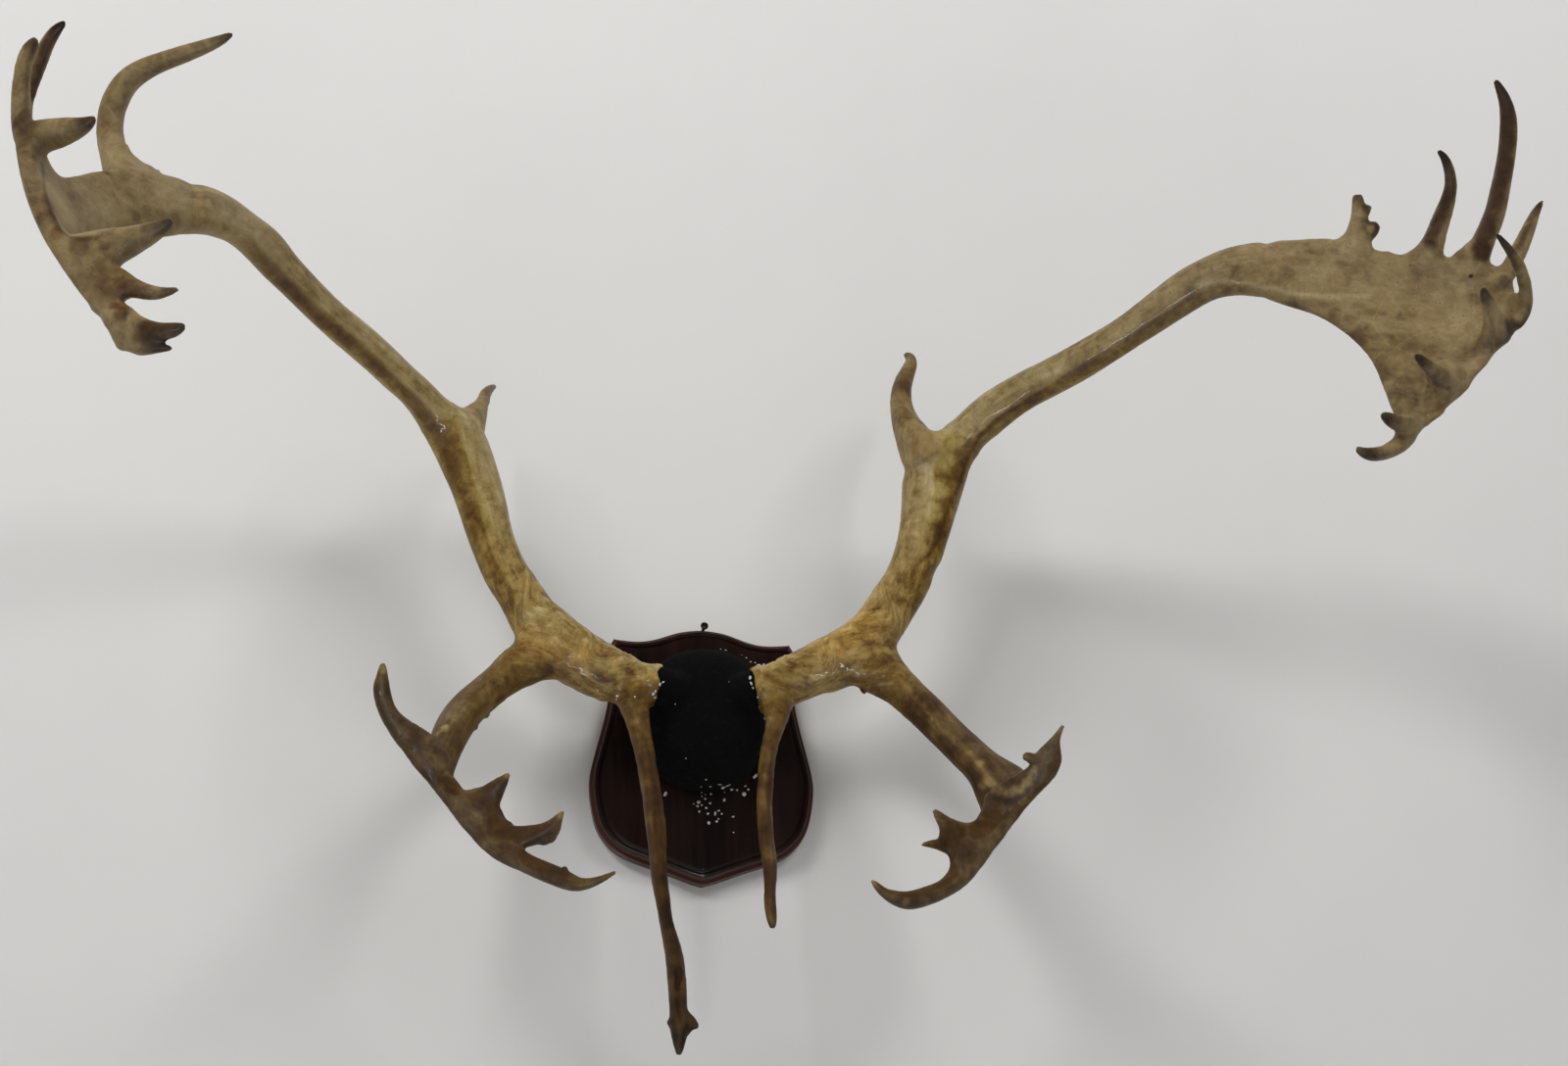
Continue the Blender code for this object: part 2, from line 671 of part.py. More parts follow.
def stub_end(burr):
    """Middle of a burr's inner face and its direction outward."""
    faces = [(seen(*row[0]) + seen(*row[1])) / 2 for row in burr[:3]]
    return faces[0], (faces[2] - faces[0]).normalized()


def square_off(value):
    """Cosine or sine of an outline that is squarer than an ellipse."""
    return math.copysign(abs(value) ** (2 / COVER_SQUARENESS), value)


def make_dome(name, grow):
    """Flattened dome on the front of the plaque."""
    bm = bmesh.new()
    rows = []
    for r in range(COVER_RINGS):
        lift = math.sin(math.pi / 2 * r / COVER_RINGS)
        spread = (1 - lift**COVER_FULLNESS) ** (1 / COVER_FULLNESS)
        row = []
        for k in range(COVER_SIDES):
            angle = 2 * math.pi * k / COVER_SIDES
            x = square_off(math.cos(angle)) * (COVER_HALF_WIDTH * spread + grow)
            z = COVER_MIDDLE_UP + square_off(math.sin(angle)) * (COVER_HALF_HEIGHT * spread + grow)
            y = -(PLAQUE_THICK + GAP + lift * (COVER_DEPTH + grow))
            row.append(bm.verts.new((x * MM, y * MM, z * MM)))
        rows.append(row)
    skin(bm, rows)
    bm.faces.new(rows[0])
    top = -(PLAQUE_THICK + GAP + COVER_DEPTH + grow) * MM
    pole = bm.verts.new((0, top, COVER_MIDDLE_UP * MM))
    for k in range(COVER_SIDES):
        bm.faces.new((rows[-1][k], rows[-1][(k + 1) % COVER_SIDES], pole))
    return add_object(name, bm)


def make_stub(burr, grow):
    """Round stub from inside the dome to just past the inner face of a burr."""
    heart_off = PLAQUE_THICK + COVER_DEPTH / 2
    heart = Vector((0, -heart_off, COVER_MIDDLE_UP + STUB_HEART_UP)) * MM
    face, outward = stub_end(burr)
    points = [
        heart.lerp(face, STUB_START),
        heart.lerp(face, STUB_BEND),
        face - outward * STUB_STRAIGHT * MM,
        face + outward * STUB_PAST_BURR * MM,
    ]
    along = tangents(points)
    side = along[0].orthogonal().normalized()
    radius = (STUB_RADIUS + grow) * MM
    turns = [2 * math.pi * n / STUB_SIDES for n in range(STUB_SIDES)]
    rings = []
    for k, point in enumerate(points):
        if k:
            side = along[k - 1].rotation_difference(along[k]) @ side
        other = along[k].cross(side)
        rings.append([point + (side * math.cos(t) + other * math.sin(t)) * radius for t in turns])
    return loft("stub", rings)


def make_cover(name, grow=0.0):
    """Felt cover: a dome on the plaque with a short stub up to each burr."""
    dome = make_dome(name, grow)
    for burr in (LEFT_BURR, RIGHT_BURR):
        boolean(dome, make_stub(burr, grow), "UNION")
    return dome


def make_antler(side, burr, stations, root, brow, lobes, arm, bez_palm, points, rear, crown_rows, table):
    """One antler: beam with burr, brow tine, bez tine, rear tine and crown palm."""

    def grown_beam():
        return beam("clearance", burr, stations, root, GAP)

    made = [
        beam(side + "_beam", burr, stations, root),
        horn_tine(side + "_brow_tine", flat(brow), lobes, grown_beam(), BROW_SIDES),
        bez_tine(side + "_bez_tine", arm, bez_palm, points, grown_beam()),
        horn_tine(side + "_rear_tine", rear, (), grown_beam(), REAR_SIDES),
        crown(side + "_crown_palm", crown_rows, table, grown_beam()),
    ]
    boolean(made[0], make_cover("clearance", GAP), "DIFFERENCE")
    boolean(made[1], make_cover("clearance", GAP), "DIFFERENCE")
    return made


def main():
    for old in list(bpy.data.objects):
        bpy.data.objects.remove(old, do_unlink=True)
    wood = material("mahogany", (0.030, 0.012, 0.009), 0.30)
    felt = material("black_felt", (0.008, 0.008, 0.009), 0.95)
    antler = material("antler", (0.24, 0.17, 0.075), 0.42)
    dark_antler = material("dark_antler", (0.11, 0.075, 0.042), 0.48)
    steel = material("dark_steel", (0.035, 0.034, 0.034), 0.45, 0.9)
    finish(make_plaque(), wood, 25)
    finish(make_screw(), steel)
    finish(make_cover("skull_cap_cover"), felt)
    left = make_antler(
        "left", LEFT_BURR, LEFT_BEAM, LEFT_CROWN_ROOT, LEFT_BROW, LEFT_BROW_LOBES,
        LEFT_BEZ_ARM, LEFT_BEZ_PALM, LEFT_BEZ_POINTS, LEFT_REAR,
        LEFT_CROWN, LEFT_CROWN_HORNS + (flat(LEFT_BACK_TINE),),
    )
    right = make_antler(
        "right", RIGHT_BURR, RIGHT_BEAM, RIGHT_CROWN_ROOT, RIGHT_BROW, (),
        RIGHT_BEZ_ARM, RIGHT_BEZ_PALM, RIGHT_BEZ_POINTS, RIGHT_REAR,
        RIGHT_CROWN, RIGHT_CROWN_HORNS,
    )
    for obj in left + right:
        finish(obj, dark_antler if "bez" in obj.name or "brow" in obj.name else antler)


main()
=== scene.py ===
"""Looks of the caribou antler mount: antlers, felt cover, plaque, screw and plaster crumbs."""
import heapq
import math
from contextlib import contextmanager

import bmesh
import bpy
import numpy as np
from mathutils import Matrix, Vector, bvhtree, noise


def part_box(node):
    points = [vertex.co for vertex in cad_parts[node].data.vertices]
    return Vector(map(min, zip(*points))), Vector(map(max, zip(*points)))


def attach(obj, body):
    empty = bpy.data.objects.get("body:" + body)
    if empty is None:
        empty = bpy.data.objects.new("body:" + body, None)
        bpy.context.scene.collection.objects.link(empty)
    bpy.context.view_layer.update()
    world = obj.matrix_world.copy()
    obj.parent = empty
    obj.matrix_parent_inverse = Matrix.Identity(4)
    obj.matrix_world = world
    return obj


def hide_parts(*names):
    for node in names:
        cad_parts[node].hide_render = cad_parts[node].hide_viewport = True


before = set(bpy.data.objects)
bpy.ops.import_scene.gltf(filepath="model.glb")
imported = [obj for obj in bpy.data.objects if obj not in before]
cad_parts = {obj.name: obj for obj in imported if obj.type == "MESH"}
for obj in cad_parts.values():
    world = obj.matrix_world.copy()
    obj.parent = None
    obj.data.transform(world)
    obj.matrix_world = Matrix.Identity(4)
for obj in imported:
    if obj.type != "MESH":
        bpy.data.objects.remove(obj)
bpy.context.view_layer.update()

MM = 0.001

# Camera at the photograph's viewing point: metres, degrees, lens and sensor in mm, and the
# picture's size in pixels
CAMERA_PLACE = Vector((-0.248, -2.179, -0.692))
CAMERA_PITCH = 23.2
CAMERA_YAW = 8.8
CAMERA_ROLL = -0.95
CAMERA_LENS = 51.75
CAMERA_SENSOR = 36.0
PICTURE_WIDTH = 1600.0
PICTURE_HEIGHT = 1088.0
CAMERA_TURN = (
    Matrix.Rotation(math.radians(-CAMERA_YAW), 3, "Z")
    @ Matrix.Rotation(math.radians(90 + CAMERA_PITCH), 3, "X")
    @ Matrix.Rotation(math.radians(CAMERA_ROLL), 3, "Z")
)
# Direction in which the camera looks
SIGHT = -CAMERA_TURN.col[2]

# CAD nodes that one antler is made from
ANTLER_PARTS = ("beam", "brow_tine", "bez_tine", "rear_tine", "crown_palm")

# How far the parts swell, so that they grow together over the gaps between the nodes
SEAM_OVERLAP = 0.35 * MM

# Cell of the remeshed skin. The right one is coarser, which keeps the piece under 200,000 triangles
SKIN_CELL = {"left": 2.0 * MM, "right": 2.03 * MM}

# How each part of an antler looks, from 0 to 1: how light, how grey, how strongly its outer side is
# stained, how golden near the burr, how streaked, how blotched and how glossy. The last two numbers
# say how much lighter it gets further out and at its tips, or darker where they are below 0
PART_LOOKS = {
    "beam": (0.67, 0.08, 1.0, 1.0, 0.95, 1.0, 1.0, 0.0, 0.0),
    "brow_tine": (0.34, 0.42, 0.3, 0.2, 0.7, 0.5, 0.3, -0.30, 0.05),
    "bez_tine": (0.46, 0.45, 0.4, 0.4, 0.6, 0.6, 0.12, -0.14, 0.08),
    "rear_tine": (0.50, 0.35, 0.3, 0.0, 0.6, 0.7, 0.4, 0.0, -0.1),
    "crown_palm": (0.59, 0.78, 0.12, 0.0, 0.3, 0.65, 0.2, 0.0, -0.32),
}

# How many times the looks are spread over neighbouring points where two parts meet
PART_BORDER_BLUR = 220

# How much wider than half the beam the stain on its outer side reaches
STAIN_REACH = {"left": 0.14, "right": -0.20}

# Clay that fills pockets before the skin is drawn over all: pixel across, pixel down, radius in mm,
# and how far its middle lies behind what is seen there, in mm
CLAY = {
    "left": (
        (90, 268, 12, 8), (100, 277, 12, 9), (103, 292, 12, 9), (106, 308, 12, 9),
        (116, 322, 11, 9), (124, 338, 10, 9), (112, 283, 9, 7), (113, 268, 8, 6),
        (78, 252, 9, 7), (127, 348, 8, 6),
    ),
    "right": ((1371, 243, 5, 4), (1366, 246, 4, 3)),
}

# Thin plates between the parts, stretched over what is seen at these pixels: thickness in mm, how far
# the plate lies behind what is seen, in mm, and the pixels of its corners
WEBS = {
    "left": (
        (7, 5, ((460, 412), (472, 418), (484, 411), (479, 425))),
        (7, 3, ((574, 832), (571, 848), (565, 857), (553, 862), (556, 848))),
        (8, 5, ((463, 778), (466, 797), (471, 802.5), (480, 804), (490, 801), (480, 814), (457, 800))),
        (5, 3, ((698, 1029), (710, 1046), (703, 1056), (694, 1052))),
        (9, 5, ((128, 150), (133, 160), (146, 170), (162, 177), (140, 182), (124, 165))),
    ),
    "right": (
        (9, 5, ((1433, 256), (1458, 245), (1458, 261))),
        (9, 5, ((1484, 263), (1504, 245), (1504, 263))),
        (6, 4, ((1514, 309), (1523, 344), (1537, 350), (1548, 331))),
        (6, 4, ((1450, 373), (1477, 399), (1506, 380), (1487, 364))),
        (6, 4, ((1421, 430), (1449, 437), (1470, 421), (1464, 414))),
        (8, 5, ((1536, 349), (1519, 367), (1504, 355), (1522, 341))),
        (8, 5, ((1519, 367), (1506, 388), (1490, 402), (1480, 389), (1497, 367))),
        (6, 4, ((961, 838), (958, 860), (972, 853))),
        (6, 4, ((1538, 298), (1551, 300), (1552, 317), (1540, 316))),
    ),
}

# Where two forms are worked smoothly into each other: pixel across, pixel down, radius in mm
BLENDED = {
    "left": (
        (143, 187, 20), (44, 158, 12), (526, 650, 18), (562, 700, 18), (98, 280, 22),
        (106, 308, 20), (120, 334, 16), (474, 414, 12), (674, 681, 14), (455, 768, 14), (446, 757, 11),
        (163, 175, 9), (198, 188, 10),
    ),
    "right": (
        (1387, 256, 22), (1455, 272, 24), (1504, 280, 24), (1530, 362, 18), (1478, 406, 18),
        (1458, 422, 16), (965, 590, 14), (905, 712, 16), (872, 698, 22), (1506, 374, 22),
        (968, 850, 12), (965, 439, 22), (972, 444, 18), (1433, 252, 16), (924, 478, 12),
        (1366, 242, 12),
    ),
}
BLEND_ROUNDS = 60

# Where the side that the camera sees is pressed flat: pixel across, pixel down, radius in mm, strength
FLATTENED = {
    "left": (
        (96, 268, 36, 0.9), (103, 298, 34, 0.9), (116, 324, 26, 0.8), (495, 828, 26, 0.6),
        (506, 846, 28, 0.8), (528, 850, 20, 0.6), (452, 803, 34, 0.5),
    ),
    "right": (
        (994, 853, 34, 0.8), (1018, 833, 34, 0.8), (984, 877, 26, 0.7), (1033, 816, 26, 0.5),
        (1453, 277, 18, 0.7),
    ),
}

# Where folds between two forms are filled: pixel across, pixel down, radius in mm
FILLED = {
    "left": (
        (88, 268, 26), (104, 305, 24), (118, 338, 18), (118, 290, 14), (474, 414, 14), (455, 768, 16),
    ),
    "right": (
        (875, 698, 22), (968, 852, 14), (1445, 255, 16), (1496, 260, 16),
        (1478, 402, 26), (1525, 355, 26), (1460, 425, 16), (1050, 800, 12), (1372, 245, 14),
        (1445, 252, 12), (1496, 258, 12), (1404, 252, 10), (1474, 259, 10), (1293, 250, 14),
    ),
}
FILL_ROUNDS = 120
# Rounds of filling between two readings of the normals
ROUNDS_PER_NORMALS = 8

# A point counts as seen at a pixel if the sight line passes it this closely
SEEN_WITHIN = 2.5 * MM
# Pixels between two places on a line
LINE_STEP = 3
# Length of the cross sections whose middles give the grain
SECTION_LENGTH = 10 * MM
# The beam's end at the skull cap: how deep its outermost corners lie, and its radius
BURR_DEPTH = 5 * MM
BURR_RADIUS = 26 * MM
# A tip lies further from the burr than all points that are this many neighbours away
TIP_ROUNDS = 9
# How far away from a part its looks still count, and the distance noted for one beyond that
PART_REACH = 30 * MM
OUT_OF_REACH = 1.0
# Length over which the beam takes on the crown's looks, and how much of them
CROWN_FADE = 300 * MM
CROWN_SHARE = 0.8

# Small forms drawn out of the skin: pixel across, pixel down, radius in mm, pull in mm, and the
# direction of the pull in the picture, right and up. With no direction it is along the normal
DRAWN_OUT = {
    "left": (
        (126, 352, 9, 2.5, -0.75, -0.65), (33, 65, 50, 1.1, 0, 0), (675, 679, 10, 3.0, -0.7, -0.6),
        (500, 733, 4.6, 2.0, 0.8, -0.6), (489, 744, 4.4, 1.5, 0.7, -0.7),
        (452, 741, 7.0, 2.5, 0, 0), (577, 888, 5.0, 3.8, 0.2, 1.0), (474, 790, 28, 9, -0.79, -0.62),
        (518, 831, 9, 2.5, -0.75, -0.6),
        (391, 682, 9, 3.0, 0, 1.0), (693, 989, 5.0, -1.5, 0, 0), (694, 994, 5.0, -1.8, 0, 0),
        (694, 999, 5.0, -1.8, 0, 0), (694, 1004, 5.0, -1.8, 0, 0), (693, 1009, 5.0, -1.5, 0, 0),
    ),
    "right": (
        (879, 707, 4.5, 3.2, 0.1, -1.0), (1011, 806, 4.0, 3.0, -0.5, -0.8),
        (1052, 786, 5.0, 2.5, -0.9, 0.2), (992, 826, 20, 5.0, 0.8, -0.4),
        (918, 460, 14, 3.0, 0.9, 0.0),
    ),
}

# Stains and pale places, with a few spots of painted shade and painted light: pixel across,
# pixel down, radius in mm, how much lighter, how rusty
TINTED = {
    "left": (
        (114, 284, 26, -0.10, 0.3), (100, 258, 20, -0.10, 0.1), (25, 132, 20, 0.08, 0.0),
        (57, 235, 9, -0.1, 0.5), (107, 173, 7, -0.1, 0.7),
        (30, 190, 20, -0.10, 0.0), (45, 225, 18, -0.10, 0.15), (136, 300, 20, -0.12, 0.1),
        (150, 340, 22, -0.14, 0.1), (80, 285, 16, -0.06, 0.0),
        (22, 70, 22, 0.02, 0.1), (62, 205, 34, 0.14, 0.0), (105, 222, 30, 0.10, 0.0),
        (124, 309, 9, -0.12, 0.5), (105, 335, 22, -0.04, 0.0), (100, 130, 16, -0.06, 0.2),
        (560, 640, 34, 0.16, 0.0), (555, 636, 8, -0.10, 0.45), (574, 670, 8, 0.0, 0.3),
        (540, 668, 14, 0.10, 0.3), (644, 684, 8, -0.22, 0.0),
        (620, 655, 16, -0.10, 0.0), (600, 640, 16, -0.08, 0.0),
        (548, 690, 12, 0.05, 0.0), (250, 240, 50, 0.12, 0.0), (180, 205, 34, 0.08, 0.0),
        (120, 205, 26, 0.10, 0.0), (115, 110, 26, -0.06, 0.0), (190, 55, 30, -0.03, 0.0),
        (627, 694, 7, -0.10, 0.4), (612, 690, 11, -0.14, 0.0), (634, 672, 9, -0.10, 0.0),
        (652, 690, 7, 0.06, 0.2), (666, 684, 8, 0.10, 0.1), (500, 505, 40, 0.06, 0.0),
        (452, 741, 6, 0.30, 0.0), (392, 681, 6, 0.22, 0.0), (518, 792, 5, 0.25, 0.0),
        (573, 832, 5, 0.25, 0.0), (510, 640, 18, -0.08, 0.15), (430, 820, 20, -0.06, 0.0),
        (430, 760, 16, -0.06, 0.1), (652, 760, 14, -0.04, 0.2),
        (663, 778, 22, -0.10, 0.1), (670, 815, 24, -0.14, 0.1), (676, 850, 26, -0.16, 0.15),
        (681, 890, 24, -0.16, 0.1), (684, 930, 22, -0.12, 0.0), (462, 799, 7, 0.0, 0.4),
        (121, 318, 10, -0.28, 0.3), (520, 858, 26, -0.08, 0.0), (560, 890, 22, -0.12, 0.0),
        (475, 818, 26, -0.03, 0.0), (514, 831, 8, 0.0, 0.5), (533, 871, 9, 0.0, 0.5),
        (401, 724, 9, 0.0, 0.4), (121, 286, 8, -0.06, 0.4), (38, 205, 26, -0.10, 0.1),
        (24, 165, 22, -0.08, 0.1), (108, 300, 18, -0.04, 0.1), (150, 335, 14, -0.14, 0.1),
        (330, 312, 16, 0.12, 0.0), (566, 655, 9, 0.12, 0.0), (543, 624, 12, 0.12, 0.0),
        (589, 669, 9, 0.10, 0.0), (576, 650, 8, -0.06, 0.35), (560, 684, 12, -0.16, 0.1),
        (647, 733, 7, 0.12, 0.0), (450, 800, 12, 0.08, 0.0), (505, 812, 20, -0.10, 0.0),
        (552, 852, 18, -0.08, 0.1), (560, 684, 10, -0.04, 0.0), (490, 845, 12, -0.10, 0.0),
        (30, 60, 12, 0.08, 0.0), (686, 1008, 16, 0.24, 0.0), (689, 1040, 16, 0.20, 0.0),
        (688, 976, 9, 0.10, 0.0), (80, 248, 13, -0.18, 0.1), (115, 310, 7, -0.16, 0.2),
    ),
    "right": (
        (1314, 277, 12, -0.10, 0.0), (1267, 279, 16, -0.10, 0.0), (1215, 300, 14, -0.15, 0.0),
        (1250, 308, 16, -0.14, 0.0), (1320, 318, 18, -0.16, 0.0), (1380, 350, 20, -0.16, 0.0),
        (1405, 385, 18, -0.14, 0.0), (1442, 396, 36, -0.12, 0.0), (1430, 405, 26, -0.07, 0.0),
        # (1537, 288) is painted shade beside the small hole
        (1470, 320, 34, 0.10, 0.0), (1537, 288, 13, -0.15, 0.0), (1516, 255, 16, -0.12, 0.2),
        (1460, 248, 9, -0.15, 0.0), (1549, 311, 6, 0.0, 0.7), (1515, 370, 7, 0.0, 0.4),
        (1471, 416, 7, 0.0, 0.5), (1380, 252, 18, 0.10, 0.0), (1350, 275, 26, 0.06, 0.0),
        (1430, 300, 30, 0.05, 0.0), (1100, 372, 22, -0.10, 0.0), (785, 692, 9, -0.05, 0.4),
        (780, 686, 7, -0.05, 0.3), (879, 707, 7, -0.25, 0.5), (862, 668, 18, -0.05, 0.2),
        (792, 760, 20, -0.06, 0.1), (785, 800, 22, -0.06, 0.1), (782, 840, 22, -0.06, 0.1),
        (1053, 785, 5, 0.25, 0.0), (1030, 812, 12, -0.08, 0.0),
        # (1501, 284) is a dark dot of painted shade that stands for a small hole
        (1501, 284, 2.6, -0.8, 0.0), (938, 723, 32, -0.26, 0.1), (968, 753, 32, -0.22, 0.0),
        (998, 784, 28, -0.12, 0.1), (1024, 800, 24, -0.14, 0.0), (926, 923, 6, 0.22, 0.0),
        (890, 645, 34, -0.10, 0.0), (945, 545, 40, -0.05, 0.0), (1408, 462, 14, -0.12, 0.0),
        (926, 392, 18, -0.12, 0.1), (922, 420, 14, -0.08, 0.2),
        (944, 449, 20, 0.06, 0.3), (975, 864, 26, -0.10, 0.0), (1489, 293, 9, 0.16, 0.0),
        (1180, 325, 20, -0.08, 0.1), (967, 470, 16, 0.24, 0.0), (961, 497, 15, 0.22, 0.0),
        (955, 522, 14, 0.20, 0.0), (975, 450, 12, 0.18, 0.0), (902, 618, 10, -0.02, 0.3),
        (1400, 233, 6, 0.22, 0.15), (1396, 212, 6, -0.20, 0.0), (1436, 432, 16, -0.06, 0.0),
        # (1533, 342) is painted light that lifts the shade of a small fold
        (1505, 350, 20, -0.05, 0.0), (1533, 342, 12, 0.10, 0.0), (1460, 395, 20, -0.10, 0.0),
        (1550, 286, 12, 0.10, 0.0), (1000, 800, 10, 0.22, 0.0), (930, 918, 14, -0.08, 0.0),
        (965, 850, 14, -0.09, 0.1), (930, 700, 14, -0.05, 0.15), (960, 735, 14, -0.05, 0.15),
        (802, 694, 24, -0.10, 0.1), (832, 682, 15, -0.12, 0.1), (781, 850, 26, -0.12, 0.0),
        (781, 792, 7, 0.12, 0.0), (785, 892, 26, -0.08, 0.0), (774, 693, 9, -0.12, 0.1),
        # (1555, 322) and (1538, 340) are painted light on a rim that faces down, which also lightens the
        # stain
        (1555, 322, 10, 0.24, 0.0), (1538, 340, 12, 0.14, 0.0), (1571, 207, 6, -0.25, 0.0),
        (1010, 850, 16, 0.10, 0.0), (788, 931, 8, 0.08, 0.0),
        (1474, 200, 10, -0.10, 0.2), (1520, 230, 8, -0.06, 0.15), (1440, 330, 60, -0.03, 0.0),
    ),
}

# Thin lines along the skin, some of them painted shadows and painted highlights: half width in mm,
# how much lighter, how rusty, and pixels along the line
LINED = {
    "left": (
        # This golden pale line is a painted highlight along the lip where the bez palm folds over its
        # arm
        (3.5, 0.28, 0.2, ((438, 752), (447, 745), (456, 737))),
        # This dark line is painted shade in the groove pressed into the brow tine's end
        (3.4, -0.6, 0.0, ((693, 990), (693.5, 999), (693, 1008))),
        # Painted shadow line where the crown's front edge overlaps the palm behind it, with some rust
        (3.5, -0.26, 0.3, ((46, 168), (48, 190), (53, 213), (62, 232), (76, 241), (95, 241))),
        (3.0, -0.14, 0.0, ((37, 44), (32, 66), (29, 92), (29, 114))),
        (8.0, -0.36, 0.3, ((63, 25), (53, 42), (46, 60), (41, 80), (36, 98))),
        (
            8.0, -0.08, 0.28,
            (
                (249, 250), (277, 276), (300, 301), (327, 326), (354, 347), (377, 365),
                (402, 386), (419, 407), (434, 426), (448, 449), (463, 483),
            ),
        ),
        (2.5, 0.14, 0.0, ((128, 204), (158, 207), (190, 212), (222, 224), (250, 244))),
        (2.5, 0.12, 0.0, ((150, 190), (175, 196), (205, 205))),
        # The next two pale lines are painted highlights along the ridges of the bez palm
        (3.0, 0.16, 0.0, ((432, 757), (442, 769), (453, 781), (463, 792))),
        (3.5, 0.08, 0.0, ((458, 813), (476, 826), (496, 842), (513, 856))),
        (3.0, 0.0, 0.45, ((536, 876), (547, 883), (557, 888))),
    ),
    "right": (
        (4.0, 0.20, 0.0, ((924, 697), (938, 717), (950, 733), (968, 751), (984, 763), (998, 778))),
        (6.5, 0.26, 0.0, ((998, 778), (1010, 796), (1023, 807), (1038, 808), (1049, 800), (1054, 791))),
        # This dark line is a painted shadow under the lip of the bez palm
        (3.0, -0.25, 0.0, ((994, 803), (1010, 811), (1027, 815), (1043, 814), (1055, 804), (1060, 790))),
        (3.2, 0.24, 0.0, ((1220, 292), (1250, 289), (1290, 293), (1325, 299), (1370, 301), (1400, 300))),
        (
            13.0, -0.42, 0.25,
            ((1528, 90), (1533, 111), (1536, 140), (1532, 170), (1526, 199), (1517, 226), (1513, 256)),
        ),
        (
            3.2, -0.24, 0.15,
            (
                (1210, 309), (1180, 328), (1152, 346), (1125, 362), (1097, 379), (1073, 393),
                (1044, 412), (1016, 431), (1001, 447), (989, 468), (982, 492), (970, 516),
                (963, 540), (956, 556), (937, 578), (927, 597), (918, 614),
            ),
        ),
        (
            9.5, -0.38, 0.22,
            ((1469, 160), (1475, 175), (1477, 192), (1473, 209), (1465, 228), (1457, 242)),
        ),
        (5.0, -0.26, 0.2, ((1568, 212), (1556, 236), (1548, 255))),
        (4.5, -0.28, 0.0, ((1529, 241), (1539, 257), (1546, 276), (1550, 292))),
        (2.4, -0.36, 0.0, ((1511, 296), (1516, 312), (1520, 328), (1523, 344))),
        (2.4, -0.40, 0.0, ((1445, 364), (1450, 374), (1458, 385), (1467, 395), (1477, 399))),
        (2.0, -0.24, 0.1, ((1477, 399), (1481, 404), (1475, 413), (1460, 419), (1433, 427))),
        # Painted contact shadow where the hook tine comes out from behind the lower plate
        (2.4, -0.28, 0.0, ((1423, 442), (1432, 446), (1444, 443), (1450, 440))),
        (3.0, -0.25, 0.0, ((1412, 424), (1417, 436), (1424, 441))),
    ),
}

# Plaster crumbs: pixel across, pixel down, length and width in mm, and the angle of the length
CRUMBS = (
    # below the felt
    (679, 810.5, 6.0, 3.2, 60), (770.5, 792.5, 6.5, 3.0, 50), (759, 811, 4.6, 4.6, 0),
    (763.5, 806, 2.8, 2.2, 0), (760.5, 802.5, 2.4, 1.8, 30), (746.5, 806, 3.8, 2.4, 0),
    (752, 806.5, 2.8, 1.8, 0), (737.5, 803.5, 4.0, 3.6, 0), (734.5, 800.5, 5.0, 1.6, 135),
    (743, 801.5, 7.0, 1.5, 10), (720.5, 795.5, 2.4, 1.6, 80), (725, 802.5, 2.4, 2.0, 0),
    (739, 816.5, 4.4, 2.4, 80), (725.5, 810.5, 2.2, 2.0, 0), (719.5, 815.5, 3.0, 2.6, 0),
    (724.5, 819.8, 3.0, 2.4, 0), (712.8, 819, 4.4, 3.2, 30), (711.8, 823, 3.0, 2.2, 0),
    (708, 820.5, 1.8, 1.4, 0), (716, 821.8, 2.0, 1.6, 0), (720.6, 824.8, 2.8, 2.6, 0),
    (713.5, 828.5, 2.4, 2.2, 0), (722.4, 830.6, 3.0, 2.0, 20), (729.8, 830.5, 4.6, 2.2, 80),
    (733.3, 827.5, 3.2, 1.8, 20), (736.5, 830.8, 2.2, 1.6, 0), (733, 836, 2.0, 1.6, 0),
    (731.3, 838.7, 2.6, 2.2, 0), (723.2, 840.3, 3.4, 3.4, 0), (748, 833.8, 3.0, 2.2, 10),
    (715.5, 803, 1.6, 1.2, 0), (716, 809, 1.5, 1.2, 0), (719.8, 811, 1.4, 1.1, 0),
    (716.3, 812.7, 1.6, 1.3, 0), (739.3, 808.5, 1.5, 1.0, 0), (748.5, 849.8, 1.6, 1.2, 0),
    # left burr
    (672.8, 698.6, 4.2, 3.4, 30), (676.6, 696.4, 3.2, 1.8, 30), (668.6, 705.6, 3.4, 2.6, 50),
    (666.4, 708.4, 3.6, 2.8, 0), (668.2, 711.8, 3.0, 2.0, 20), (630, 710.6, 3.2, 3.0, 0),
    (629, 714, 2.0, 1.6, 0), (647.8, 711.4, 2.2, 2.0, 0), (666.4, 678.6, 2.8, 1.8, 20),
    (651.4, 690.4, 1.8, 1.4, 0), (609.6, 704.8, 2.0, 1.8, 0), (661, 694.5, 1.6, 1.3, 0),
    # right burr and the upper edge of the felt
    (774.3, 679.8, 4.6, 3.8, 70), (779.4, 678.2, 2.6, 1.8, 20), (765.6, 692, 4.8, 3.0, 80),
    (766.6, 697.6, 4.4, 2.2, 110), (768.4, 702, 3.2, 1.6, 120), (773.4, 711.6, 2.8, 1.8, 0),
    (774.8, 721.6, 2.0, 1.8, 0), (779.6, 733.4, 3.2, 2.4, 50), (770.5, 676.6, 2.0, 1.4, 0),
    (766, 675.6, 2.4, 1.3, 0), (761.6, 671.4, 2.0, 1.1, 140), (740.6, 663.6, 2.6, 1.0, 170),
    (735.5, 662.6, 1.6, 0.8, 0), (757, 668.4, 1.4, 0.8, 0),
    # loose on the felt
    (689, 718.6, 1.8, 1.0, 20), (700, 774, 1.4, 0.9, 0), (744, 696, 1.0, 0.7, 0),
)


